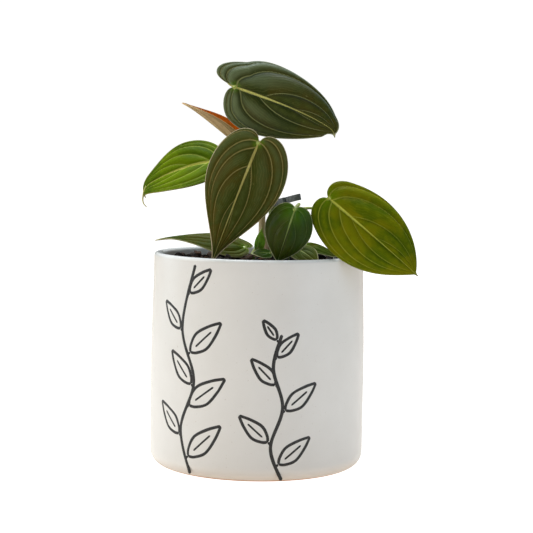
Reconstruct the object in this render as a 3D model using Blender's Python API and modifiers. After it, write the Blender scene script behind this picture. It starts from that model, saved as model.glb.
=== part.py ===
"""Potted philodendron: a young climbing plant in a white cylindrical pot.

Frame: metres, +Z up. The origin is the centre of the pot's flat base, on the
surface it stands on. -Y is the front of the pot and +X is to its right.

The solids are a turned pot, the potting mix that fills it, bark chips lying on
the mix, a vine with two short side shoots, a bamboo stake with a plastic tie,
and for each leaf a stalk (petiole) and a thin blade.
"""

import math

import bmesh
import bpy
from mathutils import Matrix, Vector

MM = 0.001

# ---------------------------------------------------------------- dimensions

POT_HEIGHT = 134 * MM
RIM_RADIUS = 66 * MM
BODY_RADIUS = 67.5 * MM
WALL = 4.5 * MM
FOOT_CORNER = 9.5 * MM  # radius of the rounded edge between wall and base
INNER_CORNER = 6.5 * MM
FLOOR = 7 * MM
WALL_SHARES = [0.90, 0.78, 0.65, 0.50]  # heights of the wall's profile points, by pot height
POT_STEPS = 64

FIT = 0.35 * MM  # clearance between pieces that touch on the real plant
BLADE_THICKNESS = 0.7 * MM

MIX_BELOW_RIM = 6.6 * MM
MIX_MOUND = 2.0 * MM  # the mix is this much higher at the middle
MIX_LUMPS = 0.5 * MM
MIX_LEVEL = POT_HEIGHT - MIX_BELOW_RIM
MIX_RINGS = 6
MIX_STEPS = 48
SOCKET_SPARE = 0.1 * MM  # a stem's socket is this much wider than the usual clearance
SOCKET_REACH = 8 * MM  # how far a socket's cutter stands above the mix

STAKE_RADIUS = 2.4 * MM
STAKE_XY = (1.6 * MM, 6.8 * MM)
STAKE_TOP = 171 * MM
STAKE_BURIED = 45 * MM

TIE_WIDTH = 4.0 * MM
TIE_BAND = 1.1 * MM
TIE_HEAD = (7.0 * MM, 4.6 * MM)  # length and thickness of the head that closes it
TIE_HEAD_JOIN = 0.4 * MM  # how far the head reaches back over the loop
TIE_TAIL = (10 * MM, 1.3 * MM)  # length and thickness of the free tail
TIE_TAIL_LIFT = 2.2 * MM  # how far the tail's end springs to one side
TIE_HEIGHT = 162 * MM  # of the loop, at the stake
TIE_TILT = math.radians(15)

# Vines: points of the centre line as (x, y, z, radius), in millimetres.
MAIN_STEM = [
    (9.0, 1.0, 101.0, 3.0),
    (9.0, 1.0, 134.0, 3.1),
    (9.0, 0.6, 150.0, 3.1),
    (8.6, 0.4, 160.0, 3.0),
    (7.4, 0.2, 168.0, 2.9),
    (3.0, -0.3, 178.0, 2.8),
    (-2.5, 0.0, 187.0, 2.7),
    (-8.0, 2.0, 196.5, 2.5),
]
LEFT_SHOOT = [
    (-4.5, -6.5, 108.0, 2.0),
    (-4.5, -6.5, 129.0, 2.0),
    (-4.3, -6.5, 133.0, 1.8),
]
RIGHT_SHOOT = [
    (17.0, -6.0, 108.0, 2.1),
    (17.0, -6.0, 131.0, 2.2),
    (17.4, -6.0, 135.0, 2.0),
]
STEMS = {"main_stem": MAIN_STEM, "left_shoot": LEFT_SHOOT, "right_shoot": RIGHT_SHOOT}

# Leaves. base is where stalk and blade meet, in millimetres. tip is the way the
# midrib sets off and face the way the upper side looks. length and width are
# the flat blade's, in millimetres. The bends are in degrees: arch over the whole
# midrib and hook over its last part, both away from the face; side is the
# midrib's bend in the blade's own plane, most of it near the tip; cup is how far
# each margin rolls away from the face, as (left, right); fold lifts both halves
# from the midrib; curl turns the last bit of the tip sideways. full is 0 for a
# (left, right) half that narrows early and 1 for a full one, blunt rounds it near
# the tip, and lobe lengthens its (left, right) lobes. stalk is the stem it grows
# from, the height where it leaves it, points on its way, and its radius.
LEAVES = {
    "top": dict(
        base=(-16.5, -14, 237.3), tip=(0.935, -0.30, -0.32), face=(-0.01, -0.98, 0.03),
        length=72, width=47.7, full=(-0.26, -0.36), lobe=(2.5, 0.72), arch=18, hook=10, side=19,
        curl=50, blunt=(1.15, 0.94), cup=(44, 26), fold=4, wave=0.6,
        stalk=("main_stem", None, [(-8, 0, 207), (-9.5, -4, 223)], 1.2),
    ),
    "centre": dict(
        base=(-1.2, -38, 203), tip=(-0.36, -0.18, -0.92), face=(-0.05, -0.97, 0.18),
        length=78, width=50, full=(-0.1, -0.1), lobe=(1.0, 1.0), arch=15, hook=5, side=0,
        curl=0, blunt=(-0.1, -0.1), cup=(35, 35), fold=6, wave=0.5,
        stalk=("main_stem", 180, [(4, -14, 188), (4, -28, 199)], 1.2),
    ),
    "left": dict(
        base=(-28, 12, 191.2), tip=(-0.97, -0.15, -0.13), face=(-0.10, -0.68, 0.73),
        length=58, width=39, full=(0.5, -0.1), lobe=(1.0, 1.0), arch=42, hook=60, side=0,
        curl=0, blunt=(0, 0), cup=(20, 10), fold=14, wave=0.5,
        stalk=("main_stem", 174, [(-5, 9, 182), (-18, 15, 188)], 1.1),
    ),
    "right": dict(
        base=(42.0, -38, 170.3), tip=(0.75, -0.33, -0.60), face=(-0.02, -0.96, 0.26),
        length=72, width=49, full=(1.0, 0.9), lobe=(0.8, 0.8), arch=12, hook=5, side=0,
        curl=0, blunt=(0, 0), cup=(41, 38), fold=5, wave=0.5,
        stalk=("main_stem", 156, [(19, -14, 161.5), (29, -24, 163.5), (37, -32, 164.5)], 0.9),
    ),
    "small": dict(
        base=(21.5, -42, 163.6), tip=(-0.30, -0.10, -0.94), face=(0.0, -0.97, 0.15),
        length=35, width=30, full=(0.8, 0.8), lobe=(0.9, 0.9), arch=15, hook=10, side=0,
        curl=0, blunt=(0, 0), cup=(35, 35), fold=6, wave=0.2,
        stalk=("main_stem", 149, [(17, -15, 158), (24, -31, 166)], 1.1),
    ),
    "low_left": dict(
        base=(-9, 1, 137.0), tip=(-0.93, 0.155, 0.247), face=(0.10, -0.26, 0.79),
        length=59, width=31, full=(-0.5, -0.25), lobe=(0.8, 0.8), arch=22, hook=0, side=-13,
        curl=0, blunt=(0, 0), cup=(44, 12), fold=2, wave=0.5,
        stalk=("left_shoot", 131.6, [(-7.0, -1.5, 133.0)], 1.0),
    ),
    "young": dict(
        base=(-1.0, -7, 137), tip=(0.15, 0.05, 0.98), face=(0.5, -0.8, 0.1),
        length=13, width=9, full=(0.0, 0.0), lobe=(0.6, 0.6), arch=-10, hook=0, side=10,
        curl=0, blunt=(0, 0), cup=(-60, -60), fold=0, wave=0.0,
        stalk=("left_shoot", None, [(-3.3, -6.2, 135.2)], 0.9),
    ),
    "low_front": dict(
        base=(23, -19, 138.5), tip=(0.66, -0.60, -0.30), face=(0.3, -0.75, 0.60),
        length=20, width=17, full=(0.5, 0.5), lobe=(0.8, 0.8), arch=15, hook=5, side=0,
        curl=0, blunt=(0, 0), cup=(25, 25), fold=8, wave=0.2,
        stalk=("right_shoot", 131, [(20, -12, 136)], 0.9),
    ),
    "low_back": dict(
        base=(29, 8, 138.5), tip=(0.85, 0.35, -0.12), face=(0.1, -0.30, 0.93),
        length=28, width=19, full=(0.5, 0.5), lobe=(0.8, 0.8), arch=20, hook=5, side=0,
        curl=0, blunt=(0, 0), cup=(25, 30), fold=8, wave=0.3,
        stalk=("right_shoot", 132, [(20, 0, 136)], 0.9),
    ),
    "shaded": dict(
        base=(7.5, -12, 134.5), tip=(-0.93, -0.30, 0.10), face=(0.0, -0.55, 0.8),
        length=13, width=10, full=(0.5, 0.5), lobe=(0.7, 0.7), arch=15, hook=5, side=0,
        curl=0, blunt=(0, 0), cup=(20, 20), fold=5, wave=0.0,
        stalk=("main_stem", 131, [(8, -7, 133.5)], 0.8),
    ),
    "new": dict(
        base=(-11.8, 5.5, 200.2), tip=(-0.80, 0.05, 0.615), face=(0.39, -0.41, 0.78),
        length=47, width=22.2, full=(-0.1, -0.45), lobe=(0.2, 0.2), arch=-1.5, hook=5, side=-17,
        curl=0, blunt=(0, 0), cup=(-141, -105), fold=0, wave=0.0,
        stalk=("main_stem", 189, [(-9.0, 4.5, 192.5)], 1.1),
    ),
}

# Dry sheaths (cataphylls) are narrow blades that grow straight from a stem.
SHEATHS = {
    "dry_sheath": dict(
        base=(5.6, -2.1, 131.5), tip=(-0.20, -0.15, 0.97), face=(0.74, 0.67, 0.10),
        length=13, width=6, full=(0.0, 0.0), lobe=(0.0, 0.0), arch=-8, hook=-10, side=0, curl=0, blunt=(0, 0),
        cup=(-70, -70), fold=0, wave=0.0,
    ),
}

# Aerial roots: the stem, the height where they leave it, points on their way, radius.
AERIAL_ROOTS = {
    "aerial_root_upper": ("main_stem", 176.5, [(5.0, 6.0, 175.0), (6.0, 9.0, 170.0)], 0.7),
    "aerial_root_lower": ("main_stem", 147, [(15.0, 3.6, 144.0), (17.5, 5.0, 139.0)], 0.8),
}

# Bark chips on the mix: (x, y, long side, turn in degrees), in millimetres.
BARK_CHIPS = [
    (-33, -40, 8, 20),
    (-24, -48, 6, 75),
    (-12, -40, 9, 140),
    (40, -34, 7, 35),
    (46, -14, 8, 110),
    (-40, -8, 7, 160),
    (-18, 38, 9, 60),
    (30, 36, 8, 10),
]

# A blade's outline in lengths: where it is widest, and how far its lobes reach back.
WIDEST = 0.27
LOBE = 0.085
MIDRIB_POWER = 1.25
HOOK_START = 0.72  # share of the midrib where the hook begins
CURL_START = 0.88  # and where the tip turns sideways
LOBE_FREE = 0.3  # share of the outline over which the cup sets in

PETIOLE_TAPER = 0.85
ROOT_TAPER = 0.5

BLADE_GRID = (10, 14)  # faces across and along
SMALL_BLADE_GRID = (6, 9)
SMALL_BLADE = 35
TUBE_PER_SPAN = 4


# ------------------------------------------------------------------- helpers


def clear_scene():
    for obj in list(bpy.data.objects):
        bpy.data.objects.remove(obj)


def collection(name):
    made = bpy.data.collections.new(name)
    bpy.context.scene.collection.children.link(made)
    return made


def material(name, colour, roughness, metallic=0.0):
    made = bpy.data.materials.new(name)
    made.use_nodes = True
    shader = made.node_tree.nodes["Principled BSDF"]
    shader.inputs["Base Color"].default_value = (*colour, 1.0)
    shader.inputs["Roughness"].default_value = roughness
    shader.inputs["Metallic"].default_value = metallic
    made.diffuse_color = (*colour, 1.0)
    return made


def add_object(name, data, group, finish):
    obj = bpy.data.objects.new(name, data)
    group.objects.link(obj)
    if finish is not None:
        data.materials.append(finish)
    return obj


def millimetres(values):
    return Vector(values) * MM


def arc(centre, radius, start, end, steps):
    """Points of an arc in a plane, angles in degrees."""
    points = []
    for i in range(steps + 1):
        a = math.radians(start + (end - start) * i / steps)
        points.append((centre[0] + radius * math.cos(a), centre[1] + radius * math.sin(a)))
    return points


def turned(name, profile, steps, group, finish):
    """A solid of revolution about Z. The profile, as (radius, height), starts and ends on the axis."""
    mesh = bpy.data.meshes.new(name)
    bm = bmesh.new()
    verts = [bm.verts.new((r, 0.0, z)) for r, z in profile]
    for a, b in zip(verts, verts[1:]):
        bm.edges.new((a, b))
    bm.to_mesh(mesh)
    bm.free()
    obj = add_object(name, mesh, group, finish)
    screw = obj.modifiers.new("Turn", "SCREW")
    screw.steps = steps
    screw.render_steps = steps
    screw.use_merge_vertices = True
    screw.merge_threshold = 0.00001
    return obj


def made_mesh(obj):
    """Replaces an object by a mesh object of its evaluated shape."""
    graph = bpy.context.evaluated_depsgraph_get()
    mesh = bpy.data.meshes.new_from_object(obj.evaluated_get(graph))
    name, groups, matrix = obj.name, obj.users_collection, obj.matrix_world.copy()
    bpy.data.objects.remove(obj)
    made = bpy.data.objects.new(name, mesh)
    made.matrix_world = matrix
    for group in groups:
        group.objects.link(made)
    bm = bmesh.new()
    bm.from_mesh(mesh)
    bmesh.ops.remove_doubles(bm, verts=bm.verts, dist=0.000001)
    bm.to_mesh(mesh)
    bm.free()
    return made


def catmull(points, t, i):
    """Point t of the way from points[i] to points[i + 1] on a smooth curve through all of them."""
    last = len(points) - 1
    p0, p1, p2, p3 = (points[min(max(k, 0), last)] for k in (i - 1, i, i + 1, i + 2))
    a = -0.5 * p0 + 1.5 * p1 - 1.5 * p2 + 0.5 * p3
    b = p0 - 2.5 * p1 + 2.0 * p2 - 0.5 * p3
    c = -0.5 * p0 + 0.5 * p2
    return ((a * t + b) * t + c) * t + p1


def smooth_line(points, per_span=TUBE_PER_SPAN):
    line = []
    for i in range(len(points) - 1):
        line += [catmull(points, k / per_span, i) for k in range(per_span)]
    return [*line, points[-1]]


def tube(name, points, group, finish, resolution=2):
    """A round solid along points given as 4-vectors: x, y, z and radius, in metres."""
    curve = bpy.data.curves.new(name, "CURVE")
    curve.dimensions = "3D"
    curve.bevel_depth = 1.0
    curve.bevel_resolution = resolution
    curve.use_fill_caps = True
    spline = curve.splines.new("POLY")
    spline.points.add(len(points) - 1)
    for point, place in zip(spline.points, points):
        point.co = (place[0], place[1], place[2], 1.0)
        point.radius = place[3]
    spline.use_smooth = True
    add_object(name, curve, group, finish)


def smooth_step(x):
    x = min(max(x, 0.0), 1.0)
    return x * x * (3 - 2 * x)


# ----------------------------------------------------------------------- pot


def pot_radius(height):
    """Outer radius of the wall: it swells a little from the rim to the middle and is straight below."""
    share = smooth_step((POT_HEIGHT - height) / (0.5 * POT_HEIGHT))
    return RIM_RADIUS + (BODY_RADIUS - RIM_RADIUS) * share


def inner_radius(height):
    return pot_radius(height) - WALL


def make_pot(group, finish):
    """One wall from the floor up its inner side, over the rounded rim and down to the flat base."""
    lip = WALL / 2
    heights = [share * POT_HEIGHT for share in WALL_SHARES]
    floor_centre = (inner_radius(0) - INNER_CORNER, FLOOR + INNER_CORNER)
    floor_arc = arc(floor_centre, INNER_CORNER, -90, 0, 3)
    inner_wall = [(inner_radius(height), height) for height in reversed(heights)]
    rim = arc((RIM_RADIUS - lip, POT_HEIGHT - lip), lip, 180, 0, 6)
    outer_wall = [(pot_radius(height), height) for height in heights]
    foot_arc = arc((BODY_RADIUS - FOOT_CORNER, FOOT_CORNER), FOOT_CORNER, 0, -90, 4)
    profile = [(0.0, FLOOR), *floor_arc, *inner_wall, *rim, *outer_wall, *foot_arc, (0.0, 0.0)]
    turned("pot", profile, POT_STEPS, group, finish)


# -------------------------------------------------------------- potting mix


def mix_height(x, y):
    """Height of the top of the potting mix: a low mound with slow lumps."""
    r = math.hypot(x, y) / inner_radius(MIX_LEVEL)
    u, v = x / (9 * MM), y / (9 * MM)
    lumps = math.sin(u + 0.6) * math.cos(1.3 * v) + math.sin(0.7 * u - 1.1 * v + 2.0)
    return MIX_LEVEL + MIX_MOUND * max(0.0, 1 - r * r) + 0.5 * MIX_LUMPS * lumps


def socket_cutter(name, x, y, radius, depth, group):
    bm = bmesh.new()
    bmesh.ops.create_cone(
        bm, cap_ends=True, segments=12, radius1=radius + FIT, radius2=radius + FIT, depth=depth
    )
    mesh = bpy.data.meshes.new(name)
    bm.to_mesh(mesh)
    bm.free()
    cutter = add_object(name, mesh, group, None)
    cutter.location = (x, y, MIX_LEVEL + SOCKET_REACH - depth / 2)
    cutter.hide_render = True
    cutter.display_type = "WIRE"
    return cutter


def make_mix(group, cutters, finish):
    """The filling of the pot, with a lumpy top and a socket for the stake and each stem."""
    edge = inner_radius(MIX_LEVEL) - FIT
    top = [(edge * ring / MIX_RINGS, MIX_LEVEL) for ring in range(MIX_RINGS + 1)]
    heights = [share * POT_HEIGHT for share in WALL_SHARES]
    side = [(inner_radius(height) - FIT, height) for height in heights]
    low = FLOOR + FIT
    bottom_centre = (inner_radius(0) - FIT - INNER_CORNER, low + INNER_CORNER)
    bottom = arc(bottom_centre, INNER_CORNER, 0, -90, 3)
    mix = turned("potting_mix", [*top, *side, *bottom, (0.0, low)], MIX_STEPS, group, finish)
    mix = made_mesh(mix)
    for vertex in mix.data.vertices:
        if vertex.co.z > MIX_LEVEL - MIX_LUMPS:
            vertex.co.z = mix_height(vertex.co.x, vertex.co.y)
    buried = [("socket_stake", *STAKE_XY, STAKE_RADIUS, STAKE_BURIED)]
    for name, line in STEMS.items():
        x, y, low_end, radius = (value * MM for value in line[0])
        buried.append((f"socket_{name}", x, y, radius + SOCKET_SPARE, MIX_LEVEL - low_end))
    for name, x, y, radius, depth in buried:
        cutter = socket_cutter(name, x, y, radius, depth + SOCKET_REACH + FIT, cutters)
        cut = mix.modifiers.new(name, "BOOLEAN")
        cut.operation = "DIFFERENCE"
        cut.object = cutter


def make_bark_chips(group, finish):
    """Flat split chips: a squashed block with its corners cut back, lying on the mix."""
    for index, (x, y, size, turn) in enumerate(BARK_CHIPS, 1):
        bm = bmesh.new()
        bmesh.ops.create_icosphere(bm, subdivisions=1, radius=0.5)
        half = Vector((size, size * 0.62, size * 0.36)) * MM
        for vertex in bm.verts:
            jog = 1 + 0.16 * math.sin(5 * vertex.co.x + 3 * vertex.co.y + index)
            for axis in range(3):
                vertex.co[axis] *= half[axis] * jog
        mesh = bpy.data.meshes.new(f"bark_chip_{index}")
        bm.to_mesh(mesh)
        bm.free()
        chip = add_object(f"bark_chip_{index}", mesh, group, finish)
        reach = size * 0.5 * MM
        steps = (-1, -0.5, 0, 0.5, 1)
        under = [
            mix_height(x * MM + reach * i, y * MM + reach * j) for i in steps for j in steps
        ]
        low = min(vertex.co.z for vertex in mesh.vertices)
        chip.location = (x * MM, y * MM, max(under) - low + FIT)
        chip.rotation_euler = (0.0, 0.0, math.radians(turn))


# ----------------------------------------------------------- stems and stake


def metres4(points):
    return [Vector(p) * MM for p in points]


def stem_at(name, height):
    """Centre, direction and radius of a stem at a height, in metres."""
    line = smooth_line(metres4(STEMS[name]))
    a, b = next(pair for pair in zip(line, line[1:]) if pair[0].z <= height <= pair[1].z)
    place = a.lerp(b, (height - a.z) / (b.z - a.z))
    return place.xyz, (b - a).xyz.normalized(), place.w


def make_stems(group, finish):
    for name, points in STEMS.items():
        tube(name, smooth_line(metres4(points)), group, finish, resolution=3)


def make_stake(group, finish):
    bm = bmesh.new()
    low = MIX_LEVEL - STAKE_BURIED
    bmesh.ops.create_cone(
        bm, cap_ends=True, segments=14, radius1=STAKE_RADIUS, radius2=STAKE_RADIUS,
        depth=STAKE_TOP - low,
    )
    mesh = bpy.data.meshes.new("bamboo_stake")
    bm.to_mesh(mesh)
    bm.free()
    stake = add_object("bamboo_stake", mesh, group, finish)
    stake.location = (*STAKE_XY, (STAKE_TOP + low) / 2)


def make_tie(group, finish):
    """A flat strap: a loop round stake and stem, a head where it closes, and its free tail.

    The outline is drawn in the loop's own plane, with the stake at the origin and
    the stem on the +X side, and is extruded to the strap's width."""
    stem, _, stem_radius = stem_at("main_stem", TIE_HEIGHT)
    stake = Vector((*STAKE_XY, TIE_HEIGHT))
    across = (stem - stake).to_2d()
    reach = across.length
    slack = TIE_WIDTH / 2 * math.tan(TIE_TILT) + FIT
    r_stake = STAKE_RADIUS + slack
    r_stem = stem_radius + slack
    lean = math.degrees(math.asin((r_stem - r_stake) / reach))

    def loop(extra):
        back = arc((0, 0), r_stake + extra, 270 + lean, 90 - lean, 10)
        front = arc((reach, 0), r_stem + extra, 90 - lean, -90 + lean, 10)
        return [*back, *front]

    outer = loop(TIE_BAND)
    nose = reach + r_stem + TIE_BAND
    head_length, head_thickness = TIE_HEAD
    tail_length, tail_thickness = TIE_TAIL
    head_start, head_end = nose - TIE_HEAD_JOIN, nose + head_length
    upper = [
        (head_end + tail_length * s, tail_thickness / 2 + TIE_TAIL_LIFT * s * s)
        for s in (0, 0.25, 0.5, 0.75, 1)
    ]
    lower = [(x, y - tail_thickness) for x, y in reversed(upper)]
    half = head_thickness / 2
    head = [
        (head_start, half), (head_end, half), *upper, *lower, (head_end, -half), (head_start, -half),
    ]
    before = [point for point in outer[: len(outer) // 2 + 6] if point[0] < head_start]
    after = [point for point in outer[len(outer) // 2 + 6 :] if point[0] < head_start]
    curve = bpy.data.curves.new("plant_tie", "CURVE")
    curve.dimensions = "2D"
    curve.fill_mode = "BOTH"
    curve.extrude = TIE_WIDTH / 2
    for outline in ([*before, *head, *after], loop(0.0)):
        spline = curve.splines.new("POLY")
        spline.points.add(len(outline) - 1)
        for point, (x, y) in zip(spline.points, outline):
            point.co = (x, y, 0.0, 1.0)
        spline.use_cyclic_u = True
    tie = add_object("plant_tie", curve, group, finish)
    along = across.to_3d().normalized() * math.cos(TIE_TILT) + Vector((0, 0, math.sin(TIE_TILT)))
    side = Vector((0, 0, 1)).cross(along).normalized()
    turn = Matrix((along, side, along.cross(side))).transposed()
    tie.matrix_world = Matrix.Translation(stake) @ turn.to_4x4()


# -------------------------------------------------------------------- leaves


def bezier(points, t):
    a, b, c, d = (Vector(p) for p in points)
    u = 1 - t
    return a * u**3 + b * (3 * u * u * t) + c * (3 * u * t * t) + d * t**3


def outline_point(s, full, lobe, blunt):
    """Point s (0 at the sinus, 1 at the tip) of the half outline: x in half widths, y in lengths."""
    widest = WIDEST + 0.09 * full
    shoulder = (0.24 + 0.2 * full + 0.35 * blunt, 0.80 + 0.06 * full + 0.10 * blunt)
    curves = [
        (0.12, [(0.0, 0.0), (0.03, -0.05), (0.12, -LOBE), (0.30, -LOBE)]),
        (0.30, [(0.30, -LOBE), (0.66, -LOBE), (1.0, widest - 0.21), (1.0, widest)]),
        (0.51, [(1.0, widest), (1.0, widest + 0.29), shoulder, (0.05, 0.968)]),
        (0.07, [(0.05, 0.968), (0.025, 0.980), (0.01, 0.990), (0.0, 1.0)]),
    ]
    for share, points in curves:
        if s <= share or share == curves[-1][0]:
            place = bezier(points, min(s / share, 1.0))
            break
        s -= share
    if place.y < 0:
        place.y *= lobe
    return place


def midrib_frame(leaf, y):
    """Place, right and face of the midrib at y (0 at the base, 1 at the tip), in leaf space."""
    steps = 24
    place = Vector((0, 0, 0))
    step = y * leaf["length"] * MM / steps

    def turns(at):
        hook = smooth_step((at - HOOK_START) / (1 - HOOK_START))
        down = math.radians(leaf["arch"] * at + leaf["hook"] * hook)
        end = smooth_step((at - CURL_START) / (1 - CURL_START))
        return down, math.radians(leaf["side"] * at**3 + leaf["curl"] * end)

    def along_at(at):
        down, side = turns(at)
        return Vector((math.sin(side) * math.cos(down), math.cos(side) * math.cos(down), -math.sin(down)))

    for i in range(steps):
        place += along_at(y * (i + 0.5) / steps) * step
    along = along_at(y)
    right = Vector((math.cos(turns(y)[1]), -math.sin(turns(y)[1]), 0))
    face = right.cross(along)
    return place, right, face


def blade_point(leaf, s, t):
    """Point of the blade in leaf space: s runs from base to tip, t from left margin (-1) to right (1)."""
    hand = t > 0
    outline = outline_point(s, leaf["full"][hand], leaf["lobe"][hand], leaf["blunt"][hand])
    part = abs(t)
    y = (1 - part) * s**MIDRIB_POWER + part * outline.y
    half = outline.x * leaf["width"] / 2 * MM
    place, right, face = midrib_frame(leaf, y)
    cup = math.radians(leaf["cup"][hand]) * smooth_step(s / LOBE_FREE)
    fold = math.radians(leaf["fold"])
    if abs(cup) < 0.001:
        across, lift = part * math.cos(fold), part * math.sin(fold)
    else:
        across = (math.sin(fold) - math.sin(fold - cup * part)) / cup
        lift = (math.cos(fold - cup * part) - math.cos(fold)) / cup
    ripple = math.sin(math.pi * s) * math.sin(math.tau * 2.2 * s + (1.3 if t > 0 else 0.0))
    wave = leaf["wave"] * MM * part**3 * ripple
    side = math.copysign(1.0, t)
    return place + right * (side * across * half) + face * (lift * half + wave)


def leaf_matrix(leaf):
    """Places leaf space: origin at the base, +Y along the midrib, +Z out of the upper side."""
    along = Vector(leaf["tip"]).normalized()
    face = Vector(leaf["face"])
    right = along.cross(face).normalized()
    face = right.cross(along)
    turn = Matrix((right, along, face)).transposed()
    return Matrix.Translation(millimetres(leaf["base"])) @ turn.to_4x4()


def make_blade(name, leaf, group, finish, grid):
    """A grid drawn into the blade's shape and given its thickness."""
    bm = bmesh.new()
    bmesh.ops.create_grid(bm, x_segments=grid[0], y_segments=grid[1], size=1.0)
    for vertex in bm.verts:
        t, s = vertex.co.x, (vertex.co.y + 1) / 2
        vertex.co = blade_point(leaf, s, t)
    bmesh.ops.remove_doubles(bm, verts=bm.verts, dist=0.00001)
    mesh = bpy.data.meshes.new(name)
    bm.to_mesh(mesh)
    bm.free()
    blade = add_object(name, mesh, group, finish)
    blade.matrix_world = leaf_matrix(leaf)
    solid = blade.modifiers.new("Thickness", "SOLIDIFY")
    solid.thickness = BLADE_THICKNESS
    solid.offset = 0.0


def seated(point, normal, direction, radius, clear):
    """Centre of the flat end of a tube running along direction, clear of a surface through point."""
    lean = math.sqrt(max(0.0, 1 - direction.normalized().dot(normal) ** 2))
    return point + normal * (clear + FIT + radius * lean)


def stem_seat(stem, height, toward, radius):
    """Where a tube that runs toward a point leaves a stem: its side at a height, or its top end."""
    if height is None:
        line = smooth_line(metres4(STEMS[stem]))
        centre, direction = line[-1].xyz, (line[-1] - line[-2]).xyz.normalized()
        return seated(centre, direction, toward - centre, radius, 0.0)
    centre, direction, stem_radius = stem_at(stem, height * MM)
    out = toward - centre
    level = (out - direction * out.dot(direction)).normalized()
    return seated(centre, level, out, radius, stem_radius)


def tapered(points, radius, end_share):
    """Points of a smooth line with a radius that shrinks to a share of its first value."""
    last = len(points) - 1
    shares = [1 - (1 - end_share) * i / last for i in range(last + 1)]
    return smooth_line([Vector((*p, radius * share)) for p, share in zip(points, shares)])


def make_stalk(name, leaf, group, finish):
    """The petiole: from the side or the top of its stem to the back of the blade's base."""
    stem, height, way, radius = leaf["stalk"]
    way = [millimetres(p) for p in way]
    radius *= MM
    start = stem_seat(stem, height, way[0], radius)
    back = -leaf_matrix(leaf).to_3x3().col[2]
    base = millimetres(leaf["base"])
    end = seated(base, back, base - way[-1], radius * PETIOLE_TAPER, BLADE_THICKNESS / 2)
    tube(name, tapered([start, *way, end], radius, PETIOLE_TAPER), group, finish)


def make_aerial_roots(group, finish):
    for name, (stem, height, way, radius) in AERIAL_ROOTS.items():
        way = [millimetres(p) for p in way]
        radius *= MM
        start = stem_seat(stem, height, way[0], radius)
        tube(name, tapered([start, *way], radius, ROOT_TAPER), group, finish)


# ---------------------------------------------------------------------- main


def main():
    clear_scene()
    plant = collection("potted_philodendron")
    cutters = collection("cutters")
    glaze = material("glazed_white", (0.86, 0.85, 0.83), 0.18)
    mix = material("potting_mix", (0.045, 0.028, 0.018), 0.95)
    bark = material("bark", (0.19, 0.085, 0.04), 0.9)
    bamboo = material("bamboo", (0.52, 0.40, 0.24), 0.6)
    plastic = material("tie_plastic", (0.05, 0.055, 0.06), 0.45)
    stem = material("stem_green", (0.16, 0.26, 0.05), 0.5)
    root = material("aerial_root", (0.24, 0.15, 0.08), 0.8)
    dry = material("dry_sheath", (0.42, 0.29, 0.17), 0.8)
    leaf_dark = material("leaf_dark", (0.035, 0.065, 0.018), 0.5)
    leaf_bright = material("leaf_bright", (0.09, 0.17, 0.012), 0.45)
    leaf_bronze = material("leaf_bronze", (0.24, 0.13, 0.04), 0.5)
    finishes = {"left": leaf_bright, "right": leaf_bright, "young": leaf_bright, "new": leaf_bronze}

    make_pot(plant, glaze)
    make_mix(plant, cutters, mix)
    make_bark_chips(plant, bark)
    make_stems(plant, stem)
    make_stake(plant, bamboo)
    make_tie(plant, plastic)
    make_aerial_roots(plant, root)
    for name, leaf in LEAVES.items():
        grid = SMALL_BLADE_GRID if leaf["length"] < SMALL_BLADE else BLADE_GRID
        make_blade(f"leaf_{name}", leaf, plant, finishes.get(name, leaf_dark), grid)
        make_stalk(f"petiole_{name}", leaf, plant, stem)
    for name, leaf in SHEATHS.items():
        make_blade(name, leaf, plant, dry, SMALL_BLADE_GRID)


main()
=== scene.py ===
# %% [markdown]
# # A potted philodendron
#
# This lesson dresses a finished CAD model of a young climbing philodendron in a
# white glazed planter. The CAD model fixes every size and place, and here each
# piece gets the fine surface and finish of the real thing. Everything is in metres,
# with +Z up, the middle of the pot's base at the origin, and the front of the pot
# towards -Y.

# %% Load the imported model
import math
import random
from dataclasses import dataclass

import bmesh
import bpy
import numpy as np
from mathutils import Matrix, Vector, noise


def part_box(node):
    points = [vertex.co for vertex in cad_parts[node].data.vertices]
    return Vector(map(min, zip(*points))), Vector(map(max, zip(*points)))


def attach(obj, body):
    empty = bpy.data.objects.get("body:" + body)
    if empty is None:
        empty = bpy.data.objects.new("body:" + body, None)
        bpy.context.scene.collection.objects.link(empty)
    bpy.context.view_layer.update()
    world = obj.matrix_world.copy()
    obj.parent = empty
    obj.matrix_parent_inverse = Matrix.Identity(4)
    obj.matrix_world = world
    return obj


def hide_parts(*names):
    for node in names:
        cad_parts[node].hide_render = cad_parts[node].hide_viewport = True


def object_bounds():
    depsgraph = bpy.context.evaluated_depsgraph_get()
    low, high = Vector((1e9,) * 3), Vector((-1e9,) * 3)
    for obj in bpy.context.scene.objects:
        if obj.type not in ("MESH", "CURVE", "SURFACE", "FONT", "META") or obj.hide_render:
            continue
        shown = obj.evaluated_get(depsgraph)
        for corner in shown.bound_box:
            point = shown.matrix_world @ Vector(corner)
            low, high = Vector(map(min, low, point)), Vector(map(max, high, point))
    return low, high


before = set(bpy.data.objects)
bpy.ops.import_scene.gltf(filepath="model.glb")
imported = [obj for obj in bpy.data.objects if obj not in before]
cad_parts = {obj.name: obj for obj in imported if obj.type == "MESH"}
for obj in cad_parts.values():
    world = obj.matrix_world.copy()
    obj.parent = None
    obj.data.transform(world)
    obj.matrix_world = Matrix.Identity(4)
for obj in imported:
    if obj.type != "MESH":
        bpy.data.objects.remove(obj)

cad_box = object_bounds()
MM = 0.001

# %% [markdown]
# ## The camera
#
# A plant on a table looks best from about a metre away with a short telephoto lens,
# a hand's width above the pot's rim, so that the rim is a thin ellipse and the soil
# can just be seen. The camera looks slightly down and leans by less than a degree.

# %% Camera
CAMERA_PLACE = (0.0049, -1.011, 0.206)
CAMERA_DOWN = 4.57  # degrees below level
CAMERA_LEAN = 0.92
LENS = 108.3

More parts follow.
